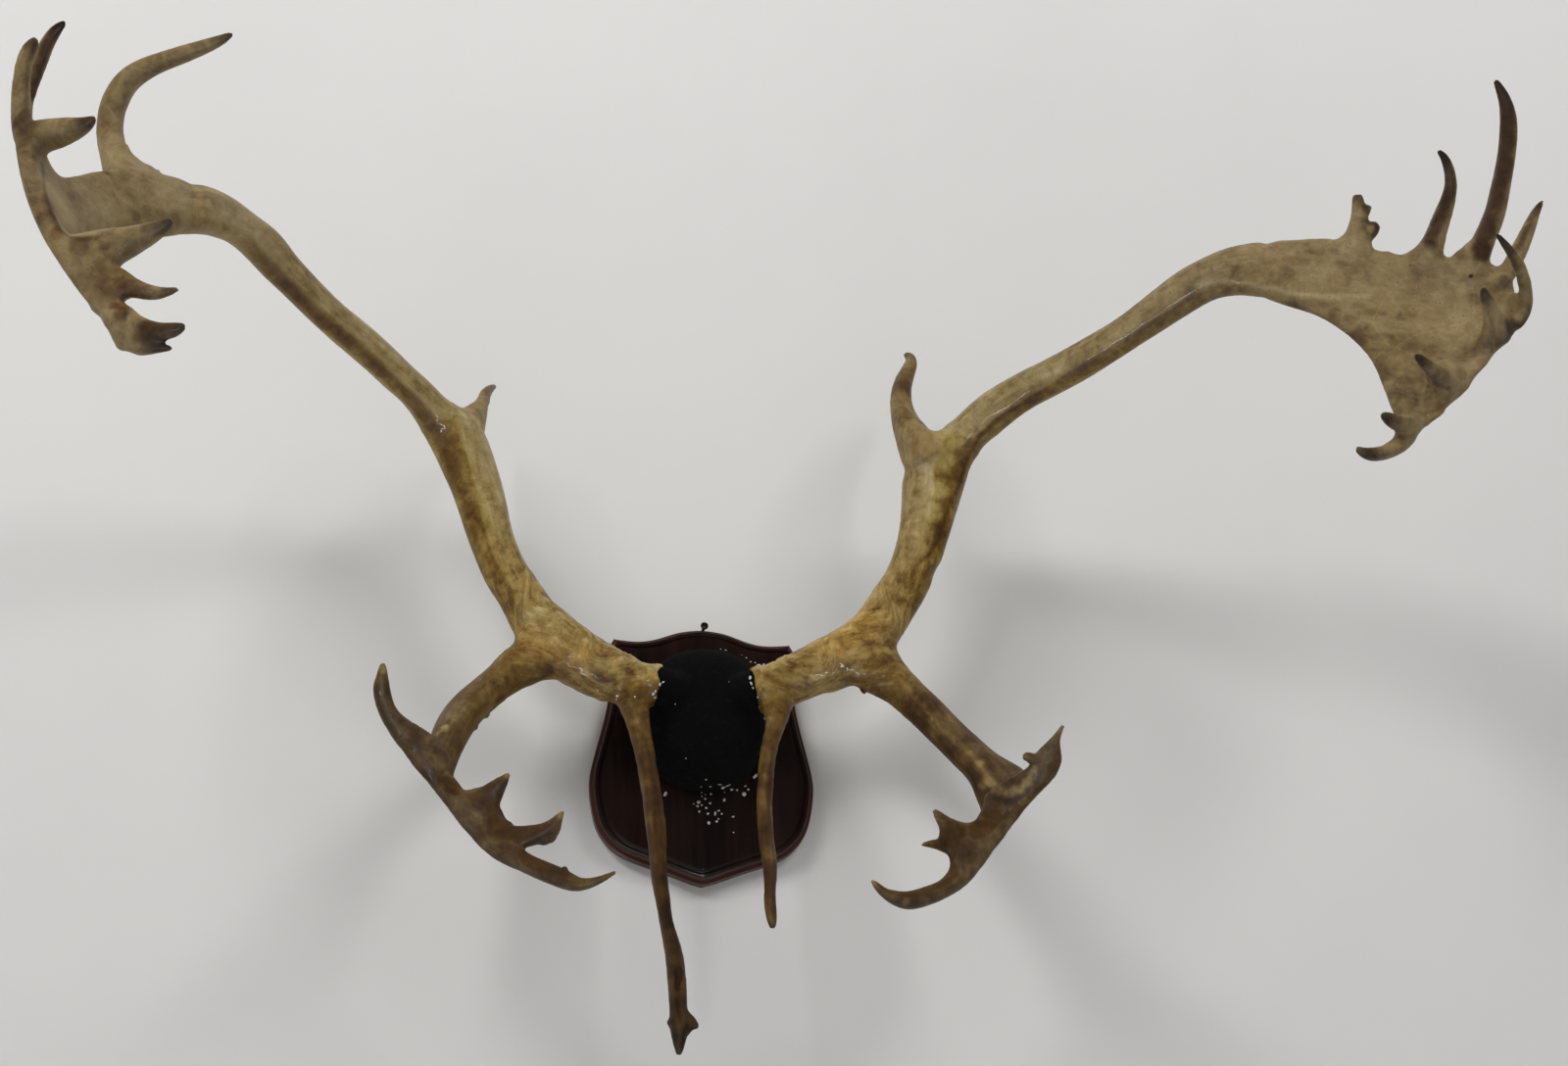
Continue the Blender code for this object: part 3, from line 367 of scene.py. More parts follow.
# Mesh helpers


def select_only(obj):
    bpy.ops.object.select_all(action="DESELECT")
    obj.select_set(True)
    bpy.context.view_layer.objects.active = obj


def add_object(name, data):
    made = bpy.data.objects.new(name, data)
    bpy.context.scene.collection.objects.link(made)
    return made


def place_in_mesh(obj):
    """Moves the object to the origin, with its place, turn and size put into its mesh."""
    select_only(obj)
    bpy.ops.object.transform_apply(location=True, rotation=True, scale=True)


@contextmanager
def editing(obj):
    """Edit mode, with the whole mesh selected."""
    select_only(obj)
    bpy.ops.object.mode_set(mode="EDIT")
    bpy.ops.mesh.select_all(action="SELECT")
    yield
    bpy.ops.object.mode_set(mode="OBJECT")


def join(objects, name):
    """Joins several objects into the first one."""
    select_only(objects[0])
    for obj in objects[1:]:
        obj.select_set(True)
    if len(objects) > 1:
        bpy.ops.object.join()
    objects[0].name = name
    objects[0].data.name = name
    return objects[0]


def apply_modifier(obj, kind, **settings):
    """Adds a modifier with these settings and applies it."""
    select_only(obj)
    modifier = obj.modifiers.new(kind.lower(), kind)
    for key, value in settings.items():
        setattr(modifier, key, value)
    bpy.ops.object.modifier_apply(modifier=modifier.name)
    return obj


def node_copy(node, name, flat_degrees=40):
    """Copy of a CAD node with its corners merged, and its triangles joined where they lie flat."""
    obj = add_object(name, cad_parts[node].data.copy())
    obj.data.materials.clear()
    flat = math.radians(flat_degrees)
    with editing(obj):
        bpy.ops.mesh.remove_doubles(threshold=0.01 * MM)
        bpy.ops.mesh.normals_make_consistent(inside=False)
        bpy.ops.mesh.tris_convert_to_quads(face_threshold=flat, shape_threshold=flat)
    return obj


def read(collection, name, width, kind=np.float32):
    """One property of all points, edges or faces, as rows of this many numbers."""
    values = np.empty(len(collection) * width, kind)
    collection.foreach_get(name, values)
    return values.reshape(-1, width)


def read_points(mesh):
    return read(mesh.vertices, "co", 3).astype(float)


def write_points(mesh, points):
    mesh.vertices.foreach_set("co", points.astype(np.float32).ravel())
    mesh.update()


def search_tree(mesh):
    """The mesh's faces, ready to be searched for what a ray meets or what lies nearest."""
    faces = [face.vertices for face in mesh.polygons]
    return bvhtree.BVHTree.FromPolygons(read_points(mesh).tolist(), faces)


def round_off(obj, levels=2, rounds=3, reach=2.5 * MM):
    """Subdivides a faceted piece so that its round skin still runs through its old corners."""
    corners = read_points(obj.data)
    cage = corners.copy()
    modifier = obj.modifiers.new("round", "SUBSURF")
    modifier.levels = levels
    modifier.render_levels = levels
    for _ in range(rounds):
        bpy.context.view_layer.update()
        rounded = obj.evaluated_get(bpy.context.evaluated_depsgraph_get()).data
        there = read(rounded.vertices, "co", 3)[: len(corners)]
        cage += corners - there
        away = cage - corners
        length = np.linalg.norm(away, axis=1, keepdims=True)
        cage = corners + away * np.minimum(1, reach / np.maximum(length, 1e-9))
        write_points(obj.data, cage)
    select_only(obj)
    bpy.ops.object.modifier_apply(modifier=modifier.name)
    return obj


def sight_ray(across, down):
    """Direction from the camera through this pixel of the picture."""
    focal = CAMERA_LENS / CAMERA_SENSOR * PICTURE_WIDTH
    x = (across - PICTURE_WIDTH / 2) / focal
    y = (PICTURE_HEIGHT / 2 - down) / focal
    return (CAMERA_TURN @ Vector((x, y, -1))).normalized()


class Skin:
    """A mesh's points, neighbours and normals, for shaping and painting it."""

    def __init__(self, obj):
        self.mesh = obj.data
        self.points = read_points(self.mesh)
        ends = read(self.mesh.edges, "vertices", 2, np.int32)
        self.near = np.concatenate([ends[:, 0], ends[:, 1]])
        self.far = np.concatenate([ends[:, 1], ends[:, 0]])
        self.count = len(self.points)
        self.shares = np.maximum(np.bincount(self.near, minlength=self.count), 1)

    def normals(self):
        write_points(self.mesh, self.points)
        return read(self.mesh.vertex_normals, "vector", 3).astype(float)

    def mean(self, values):
        """Mean of each point's neighbours."""
        columns = [
            np.bincount(self.near, column[self.far], self.count) / self.shares
            for column in values.reshape(self.count, -1).T
        ]
        return np.stack(columns, 1).reshape(values.shape)

    def spread(self, values, times):
        """Evens the values out between neighbours, this many times."""
        for _ in range(times):
            values = (values + self.mean(values)) / 2
        return values

    def soften(self, times, share):
        """Smooths the shape with no loss of size. The share says how much, for each point."""
        soft = self.spread(self.points, times)
        soft += self.spread(self.points - soft, times)
        self.points += (soft - self.points) * share[:, None]

    def seen_at(self, across, down):
        """Number of the point that the camera sees at this pixel, or else the nearest to it."""
        ray = np.array(sight_ray(across, down))
        offset = self.points - np.array(CAMERA_PLACE)
        depth = offset @ ray
        miss = np.linalg.norm(offset - depth[:, None] * ray, axis=1)
        close = np.flatnonzero(miss < SEEN_WITHIN)
        return close[depth[close].argmin()] if len(close) else miss.argmin()

    def around(self, across, down, radius):
        """How near each point is to the one seen at this pixel: 1 there, 0 at the radius."""
        middle = self.points[self.seen_at(across, down)]
        return 1 - ease(0.3, 1.0, np.linalg.norm(self.points - middle, axis=1) / radius)

    def near_spots(self, spots):
        """How near each point is to the nearest of these spots."""
        share = np.zeros(self.count)
        for across, down, radius in spots:
            share = np.maximum(share, self.around(across, down, radius * MM))
        return share

    def blend(self, times, share):
        """Works forms smoothly into each other. The share says how much, for each point."""
        for _ in range(times):
            self.points += (self.mean(self.points) - self.points) * share[:, None]

    def fill_creases(self, times, share):
        """Fills sharp valleys, and leaves ridges alone."""
        for done in range(times):
            if done % ROUNDS_PER_NORMALS == 0:
                normals = self.normals()
            lift = ((self.mean(self.points) - self.points) * normals).sum(1)
            self.points += normals * (np.maximum(lift, 0) * share)[:, None]

    def flatten(self, spots):
        """Presses the side that the camera sees flat at these spots."""
        for across, down, radius, strength in spots:
            ray = np.array(sight_ray(across, down))
            offset = self.points - self.points[self.seen_at(across, down)]
            facing = ease(0.05, 0.45, -(self.normals() @ ray))
            share = self.around(across, down, radius * MM) * facing
            aside = offset @ CAMERA_TURN.col[0]
            upward = offset @ CAMERA_TURN.col[1]
            table = np.column_stack([aside, upward, np.ones(self.count)])
            depth = offset @ ray
            used = share > 0.02
            weights = np.sqrt(share[used])
            fitted = table[used] * weights[:, None]
            plane = np.linalg.lstsq(fitted, depth[used] * weights, rcond=None)[0]
            self.points += ray * ((table @ plane - depth) * share * strength)[:, None]

    def along_line(self, line, half_width):
        """How near each point is to a line drawn through these pixels: 1 on it, 0 beside it."""
        share = np.zeros(self.count)
        for (x1, y1), (x2, y2) in zip(line, line[1:]):
            places = max(1, int(math.hypot(x2 - x1, y2 - y1) / LINE_STEP))
            for k in range(places + 1):
                t = k / places
                spot = self.around(x1 + (x2 - x1) * t, y1 + (y2 - y1) * t, half_width)
                share = np.maximum(share, spot)
        return self.spread(share, 3)

    def draw_out(self, spots):
        """Draws small forms out of the skin, or presses them in."""
        right = np.array(CAMERA_TURN.col[0])
        up = np.array(CAMERA_TURN.col[1])
        for across, down, radius, pull, aside, upward in spots:
            share = self.around(across, down, radius * MM)
            arrows = right * aside + up * upward if aside or upward else self.normals()
            self.points += arrows * (share * pull * MM)[:, None]

    def gaps(self):
        """Distance between the two points of each pair of neighbours."""
        return np.linalg.norm(self.points[self.far] - self.points[self.near], axis=1)

    def distance(self, starts):
        """Length of the shortest way along the skin from the starting points."""
        order = np.argsort(self.near, kind="stable")
        first = np.searchsorted(self.near[order], np.arange(self.count + 1)).tolist()
        others = self.far[order].tolist()
        lengths = self.gaps()[order].tolist()
        far = [math.inf] * self.count
        queue = [(0.0, int(k)) for k in starts]
        for _, k in queue:
            far[k] = 0.0
        heapq.heapify(queue)
        while queue:
            here, k = heapq.heappop(queue)
            if here > far[k]:
                continue
            for n in range(first[k], first[k + 1]):
                there = here + lengths[n]
                if there < far[others[n]]:
                    far[others[n]] = there
                    heapq.heappush(queue, (there, others[n]))
        far = np.array(far)
        far[np.isinf(far)] = far[np.isfinite(far)].max()
        return far

    def centres(self, along, slice_length, times):
        """Middle of the cross section that each point lies on."""
        slices = np.floor(along / slice_length).astype(int)
        together = slices[self.near] == slices[self.far]
        near, far = self.near[together], self.far[together]
        label = np.arange(self.count)
        while True:
            lower = label.copy()
            np.minimum.at(lower, near, label[far])
            lower = lower[lower]
            if (lower == label).all():
                break
            label = lower
        size = np.maximum(np.bincount(label, minlength=self.count), 1)
        middles = [np.bincount(label, column, self.count) / size for column in self.points.T]
        return self.spread(np.stack(middles, 1)[label], times)

    def drift(self, centres):
        """How fast the middle of the cross section moves, compared with the skin."""
        moved = np.linalg.norm(centres[self.far] - centres[self.near], axis=1)
        return np.bincount(self.near, moved / self.gaps(), self.count) / self.shares

    def uphill(self, height, times):
        """Direction along the skin in which a value grows."""
        way = self.points[self.far] - self.points[self.near]
        rise = (height[self.far] - height[self.near]) / (way**2).sum(1)
        columns = [np.bincount(self.near, rise * axis, self.count) for axis in way.T]
        arrows = self.spread(unit(np.stack(columns, 1)), times)
        return unit(arrows)

    def paint(self, name, values):
        """Stores a value or an arrow for each point, which the materials read."""
        kind, field = ("FLOAT_VECTOR", "vector") if values.ndim > 1 else ("FLOAT", "value")
        layer = self.mesh.attributes.new(name, kind, "POINT")
        layer.data.foreach_set(field, values.astype(np.float32).ravel())


def unit(arrows):
    """The same arrows, each 1 long."""
    return arrows / np.maximum(np.linalg.norm(arrows, axis=1, keepdims=True), 1e-12)


def ease(low, high, values):
    """Smooth step from 0 at low to 1 at high."""
    t = np.clip((values - low) / (high - low), 0, 1)
    return t * t * (3 - 2 * t)


def bumps(points, size, seed):
    """Soft noise from about -1 to 1 at each point, with lumps of this size."""
    shift = Vector((seed * 3.7, seed * 5.1, seed * 7.3))
    return np.array([noise.noise(Vector(p) + shift) for p in (points / size).tolist()])


# Antlers


def make_antler(side, outward, material):
    """One antler as a seamless piece. Outward is -1 for the left one and 1 for the right one."""
    nodes = [f"{side}_{part}" for part in ANTLER_PARTS]
    obj = join([round_off(node_copy(node, f"{node}_copy")) for node in nodes], f"{side}_antler")
    add_clay(obj, CLAY[side], WEBS[side])
    apply_modifier(obj, "DISPLACE", strength=SEAM_OVERLAP, mid_level=0.0)
    apply_modifier(obj, "REMESH", mode="VOXEL", voxel_size=SKIN_CELL[side], adaptivity=0.0)
    skin = Skin(obj)
    along = skin.distance(burr_points(skin, side))
    to_tip = skin.distance(find_tips(skin, along))
    shape_antler(skin, side, to_tip)
    centre = skin.centres(along, SECTION_LENGTH, 40)
    grain = skin.points - centre
    flow = skin.uphill(along, 40)
    sideways = unit(np.cross(flow, np.array(SIGHT)) * -outward)
    outer = (unit(grain) * sideways).sum(1)
    relief = antler_relief(skin, along, grain, to_tip)
    skin.points += skin.normals() * relief[:, None]
    curve = ((skin.spread(skin.points, 16) - skin.points) * skin.normals()).sum(1)
    write_points(obj.data, skin.points)
    looks = part_looks(skin, side, along, to_tip)
    looks["along"] = along
    looks["outer"] = outer + STAIN_REACH[side]
    looks["grain"] = grain
    looks["ridge"] = ease(0.5 * MM, 2.2 * MM, -curve)
    # Hollows are painted darker as painted shade, and they also get some rust
    looks["hollow"] = ease(0.15 * MM, 1.5 * MM, curve)
    looks["rust"] = looks["hollow"] * 0.6
    looks["streaked"] *= 1 - 0.8 * ease(0.65, 1.1, skin.spread(skin.drift(centre), 12))
    for share, lighter, rusty in marks(skin, side):
        looks["tone"] += share * lighter
        looks["rust"] += share * rusty
    for name, values in looks.items():
        skin.paint(name, values)
    return finish_piece(obj, nodes, material)


def shape_antler(skin, side, to_tip):
    """Works the joined parts into one smooth form, with the slim tips left sharp."""
    thick = ease(6 * MM, 45 * MM, to_tip)
    skin.fill_creases(FILL_ROUNDS, skin.near_spots(FILLED[side]))
    skin.flatten(FLATTENED[side])
    skin.blend(BLEND_ROUNDS, skin.near_spots(BLENDED[side]))
    skin.fill_creases(60, 0.1 + 0.9 * thick)
    skin.soften(12, 0.2 + 0.8 * thick)
    skin.draw_out(DRAWN_OUT[side])


def marks(skin, side):
    """Stains, pale places, painted shade and painted highlights: how strong each is at each point, how
    much lighter, how rusty.
    """
    for across, down, radius, lighter, rusty in TINTED[side]:
        yield skin.around(across, down, radius * MM), lighter, rusty
    for half_width, lighter, rusty, line in LINED[side]:
        yield skin.along_line(line, half_width * MM), lighter, rusty


def add_clay(obj, lumps, webs):
    """Adds balls and thin plates of clay that fill pockets and gaps between the parts."""
    corners = read_points(obj.data)
    tree = search_tree(obj.data)

    def behind_seen(across, down, behind):
        ray = sight_ray(across, down)
        depth = tree.ray_cast(CAMERA_PLACE, ray)[3]
        if depth is None:
            offset = corners - np.array(CAMERA_PLACE)
            depths = offset @ np.array(ray)
            miss = np.linalg.norm(offset - depths[:, None] * np.array(ray), axis=1)
            depth = depths[miss.argmin()]
        return CAMERA_PLACE + ray * (depth + behind * MM)

    clay = []
    for across, down, radius, behind in lumps:
        bpy.ops.mesh.primitive_uv_sphere_add(
            segments=24, ring_count=12, radius=radius * MM,
            location=behind_seen(across, down, behind),
        )
        clay.append(bpy.context.active_object)
        place_in_mesh(clay[-1])
    for thickness, behind, pixels in webs:
        mesh = bpy.data.meshes.new("web")
        places = [behind_seen(across, down, behind) for across, down in pixels]
        mesh.from_pydata(places, [], [range(len(places))])
        web = add_object("web", mesh)
        clay.append(apply_modifier(web, "SOLIDIFY", thickness=thickness * MM, offset=0.0))
    return join([obj] + clay, obj.name)


def burr_points(skin, side):
    """Points of the skin near the middle of the beam's end at the skull cap."""
    corners = read_points(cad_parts[f"{side}_beam"].data)
    inward = np.abs(corners[:, 0])
    burr = corners[inward < inward.min() + BURR_DEPTH].mean(0)
    return np.flatnonzero(np.linalg.norm(skin.points - burr, axis=1) < BURR_RADIUS)


def find_tips(skin, along):
    """Points that lie furthest from the burr among all near them."""
    highest = along.copy()
    for _ in range(TIP_ROUNDS):
        higher = highest.copy()
        np.maximum.at(higher, skin.near, highest[skin.far])
        highest = higher
    return np.flatnonzero(highest == along)


def antler_relief(skin, along, grain, to_tip):
    """How far the skin stands out: long waves, grooves along the grain, and pearls at the burr."""
    # heights are in mm up to the last line
    base = 1 - ease(30 * MM, 220 * MM, along)
    burr = 1 - ease(0, 30 * MM, along)
    waves = bumps(skin.points, 34 * MM, 1) * 0.45
    run = (along / (80 * MM))[:, None]
    grooves = bumps(grain / (7 * MM) + run, 1.0, 2)
    grooves = -0.35 * ease(0.05, 0.6, grooves) * (1 - ease(450 * MM, 750 * MM, along))
    run = (along / (240 * MM))[:, None]
    flutes = bumps(grain / (17 * MM) + run, 1.0, 5) * ease(60 * MM, 200 * MM, along) * 1.1
    flutes *= 1 - 0.7 * ease(650 * MM, 850 * MM, along)
    warts = bumps(skin.points, 8 * MM, 3)
    pits = bumps(skin.points, 4.5 * MM, 4)
    rough = warts * (0.10 + 0.62 * base) + pits * (0.04 + 0.34 * base)
    pearls = (ease(-0.15, 0.5, warts) * 2.6 + ease(-0.1, 0.5, pits) * 1.6 - 1.0) * burr
    slim = 0.3 + 0.7 * ease(0, 50 * MM, to_tip)
    return (waves + grooves + flutes + rough + pearls) * slim * MM


def part_looks(skin, side, along, to_tip):
    """How light, grey, stained, golden and streaked the skin is, with soft borders."""
    far = []
    for part in ANTLER_PARTS:
        tree = search_tree(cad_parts[f"{side}_{part}"].data)
        found = [tree.find_nearest(Vector(p), PART_REACH)[3] for p in skin.points.tolist()]
        far.append([OUT_OF_REACH if value is None else value for value in found])
    nearest = np.argmin(np.array(far), 0)
    looks = np.array([PART_LOOKS[part] for part in ANTLER_PARTS])[nearest]
    beam, crown = ANTLER_PARTS.index("beam"), ANTLER_PARTS.index("crown_palm")
    crown_start = along[nearest == crown].min()
    near_crown = ease(crown_start - CROWN_FADE, crown_start, along) * (nearest == beam)
    looks += (np.array(PART_LOOKS["crown_palm"]) - looks) * CROWN_SHARE * near_crown[:, None]
    looks = skin.spread(looks, PART_BORDER_BLUR).T
    light, grey, stained, golden, streaked, blotched, glossy, further, tips = looks
    outer_part = ease(140 * MM, 420 * MM, along)
    return {
        "tone": light + further * outer_part + tips * (1 - ease(3 * MM, 30 * MM, to_tip)),
        "grey": grey + 0.2 * outer_part,
        "stained": stained * (0.45 + 0.55 * ease(90 * MM, 260 * MM, along)),
        "golden": golden * ease(-60 * MM, 100 * MM, along) * (1 - ease(110 * MM, 300 * MM, along)),
        "streaked": streaked,
        "blotched": blotched,
        "glossy": glossy,
    }


def finish_piece(obj, nodes, material, sharp_degrees=None):
    """Shades the piece smooth, gives it its material, and ties it to the frame."""
    select_only(obj)
    bpy.ops.object.shade_smooth()
    if sharp_degrees:
        bpy.ops.object.shade_smooth_by_angle(angle=math.radians(sharp_degrees))
    obj.data.materials.clear()
    obj.data.materials.append(material)
    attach(obj, "root")
    if nodes:
        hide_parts(*nodes)
    return obj


# Material helpers


def new_material(name):
    """New material, and the nodes in it."""
    made = bpy.data.materials.new(name)
    made.use_nodes = True
    return made, made.node_tree


def give(tree, socket, value):
    """Links the socket if the value is a socket too, and otherwise sets the value on it."""
    if isinstance(value, bpy.types.NodeSocket):
        tree.links.new(value, socket)
    elif isinstance(value, tuple) and len(value) == 3 and socket.type == "RGBA":
        socket.default_value = (*value, 1.0)
    else:
        socket.default_value = value


def give_named(tree, node, inputs):
    """Gives the node's inputs of these names their values."""
    for key, value in inputs.items():
        give(tree, node.inputs[key.replace("_", " ")], value)
    return node


def give_first(tree, node, *values):
    """Gives the node's first inputs these values, in their order."""
    for socket, value in zip(node.inputs, values):
        give(tree, socket, value)
    return node.outputs[0]


def put(tree, kind, **inputs):
    """Adds a node. Words that start with _ are its settings, and the others its inputs."""
    made = tree.nodes.new("ShaderNode" + kind)
    for key in [key for key in inputs if key.startswith("_")]:
        setattr(made, key[1:], inputs.pop(key))
    return give_named(tree, made, inputs)


def surface(tree, **inputs):
    """Gives the material's own shader these inputs."""
    return give_named(tree, tree.nodes["Principled BSDF"], inputs)


def object_place(tree):
    """Coordinates in the object's own frame, in metres."""
    return put(tree, "TexCoord").outputs["Object"]


def marked(tree, name):
    """Value that the mesh stores under this name."""
    return put(tree, "Attribute", _attribute_name=name).outputs["Fac"]


def mix(tree, factor, first, second, blend="MIX"):
    """Colour between two colours, by this factor."""
    made = put(tree, "Mix", _data_type="RGBA", _blend_type=blend)
    # inputs 6 and 7 are the node's two colours, and output 2 is its colour
    for number, value in ((0, factor), (6, first), (7, second)):
        give(tree, made.inputs[number], value)
    return made.outputs[2]


def calc(tree, operation, *values):
    """Result of one step of arithmetic on these values."""
    return give_first(tree, put(tree, "Math", _operation=operation), *values)


def product(tree, first, *others):
    for other in others:
        first = calc(tree, "MULTIPLY", first, other)
    return first


def total(tree, *terms):
    """Sum of terms. A term is a value, or a value and what it is multiplied by."""
    result = 0.0
    for term in terms:
        value, factor = term if isinstance(term, tuple) else (term, 1.0)
        result = calc(tree, "MULTIPLY_ADD", value, factor, result)
    return result


def clamp(tree, value, highest=1.0):
    return put(tree, "Clamp", Value=value, Max=highest).outputs[0]


def step(tree, value, low, high, bottom=0.0, top=1.0):
    """Smooth step from bottom to top, as the value goes from low to high."""
    made = put(tree, "MapRange", _interpolation_type="SMOOTHSTEP")
    return give_first(tree, made, value, low, high, bottom, top)


def cloud(tree, scale, detail=3.0, vector=None, warp=0.0):
    """Soft noise with this many lumps to the metre, in object coordinates if no others are given."""
    if vector is None:
        vector = object_place(tree)
    return put(
        tree, "TexNoise", Vector=vector, Scale=scale, Detail=detail, Roughness=0.55,
        Distortion=warp,
    ).outputs["Fac"]


def ramp(tree, value, stops):
    """Colour that follows a value through these stops."""
    made = put(tree, "ValToRGB", Fac=value)
    points = made.color_ramp.elements
    for place, _ in stops[2:]:
        points.new(place)
    for point, (place, colour) in zip(points, stops):
        point.position = place
        point.color = (*colour, 1.0)
    return made.outputs[0]


def warped(tree, amount, scale):
    """Object coordinates pushed about by soft noise, by about this many metres."""
    place = object_place(tree)
    push = put(tree, "TexNoise", Vector=place, Scale=scale, Detail=2.0).outputs["Color"]
    centred = put(tree, "VectorMath", _operation="SUBTRACT")
    centred = give_first(tree, centred, push, (0.5, 0.5, 0.5))
    pushed = put(tree, "VectorMath", _operation="MULTIPLY_ADD")
    return give_first(tree, pushed, centred, (amount, amount, amount), place)


def group(name, inputs, outputs):
    """Empty node group with these named sockets. Each is a name, a kind, and a value at the start."""
    made = bpy.data.node_groups.new(name, "ShaderNodeTree")
    for label, kind, value in inputs:
        socket = made.interface.new_socket(label, in_out="INPUT", socket_type="NodeSocket" + kind)
        socket.default_value = value
    for label, kind in outputs:
        made.interface.new_socket(label, in_out="OUTPUT", socket_type="NodeSocket" + kind)
    return made, made.nodes.new("NodeGroupInput").outputs, made.nodes.new("NodeGroupOutput").inputs


def speckled_group():
    """Specks and patches of another colour, laid over a colour where soft noise is high."""
    made, come, go = group(
        "speckled",
        (
            ("Colour", "Color", (0.5, 0.5, 0.5, 1.0)), ("Speck Colour", "Color", (0.0, 0.0, 0.0, 1.0)),
            ("Vector", "Vector", (0.0, 0.0, 0.0)), ("Scale", "Float", 100.0),
            ("Detail", "Float", 3.0), ("Start", "Float", 0.5), ("Full", "Float", 0.7),
            ("Amount", "Float", 1.0),
        ),
        (("Colour", "Color"), ("Mask", "Float")),
    )
    clouds = cloud(made, come["Scale"], come["Detail"], come["Vector"])
    mask = product(made, step(made, clouds, come["Start"], come["Full"]), come["Amount"])
    give(made, go["Mask"], mask)
    give(made, go["Colour"], mix(made, mask, come["Colour"], come["Speck Colour"]))
    return made


def fine_grain_group():
    """Fine grain of a surface: its value, for colours, and the normal of its relief."""
    made, come, go = group(
        "fine_grain",
        (
            ("Vector", "Vector", (0.0, 0.0, 0.0)), ("Scale", "Float", 800.0),
            ("Detail", "Float", 4.0), ("Warp", "Float", 0.0), ("Added Height", "Float", 0.0),
            ("Strength", "Float", 0.5), ("Depth", "Float", 0.0005),
        ),
        (("Value", "Float"), ("Normal", "Vector")),
    )
    grains = cloud(made, come["Scale"], come["Detail"], come["Vector"], come["Warp"])
    height = calc(made, "ADD", grains, come["Added Height"])
    bump = put(made, "Bump", Strength=come["Strength"], Distance=come["Depth"], Height=height)
    give(made, go["Value"], grains)
    give(made, go["Normal"], bump.outputs["Normal"])
    return made


GROUP_MAKERS = {"speckled": speckled_group, "fine_grain": fine_grain_group}


def grouped(tree, name, **inputs):
    """Puts a node group into a material. The group itself is built once."""
    made = put(tree, "Group", _node_tree=bpy.data.node_groups.get(name) or GROUP_MAKERS[name]())
    inputs.setdefault("Vector", object_place(tree))
    return give_named(tree, made, inputs).outputs


# Antler material

# Colours from the darkest streaks to the palest worn places
WARM_ANTLER = (
    (0.0, (0.026, 0.011, 0.003)), (0.25, (0.092, 0.043, 0.007)), (0.42, (0.185, 0.105, 0.018)),
    (0.58, (0.300, 0.206, 0.056)), (0.78, (0.420, 0.318, 0.108)), (1.0, (0.560, 0.465, 0.220)),
)
GREY_ANTLER = (
    (0.0, (0.019, 0.012, 0.007)), (0.25, (0.060, 0.038, 0.022)), (0.42, (0.125, 0.087, 0.046)),
    (0.58, (0.242, 0.175, 0.084)), (0.78, (0.355, 0.274, 0.145)), (1.0, (0.490, 0.410, 0.255)),
)
RUST = ((0.050, 0.018, 0.006), (0.190, 0.080, 0.020))
GOLD_TINT = (1.10, 0.82, 0.42)
DARK_SPECKS = (0.045, 0.026, 0.012)


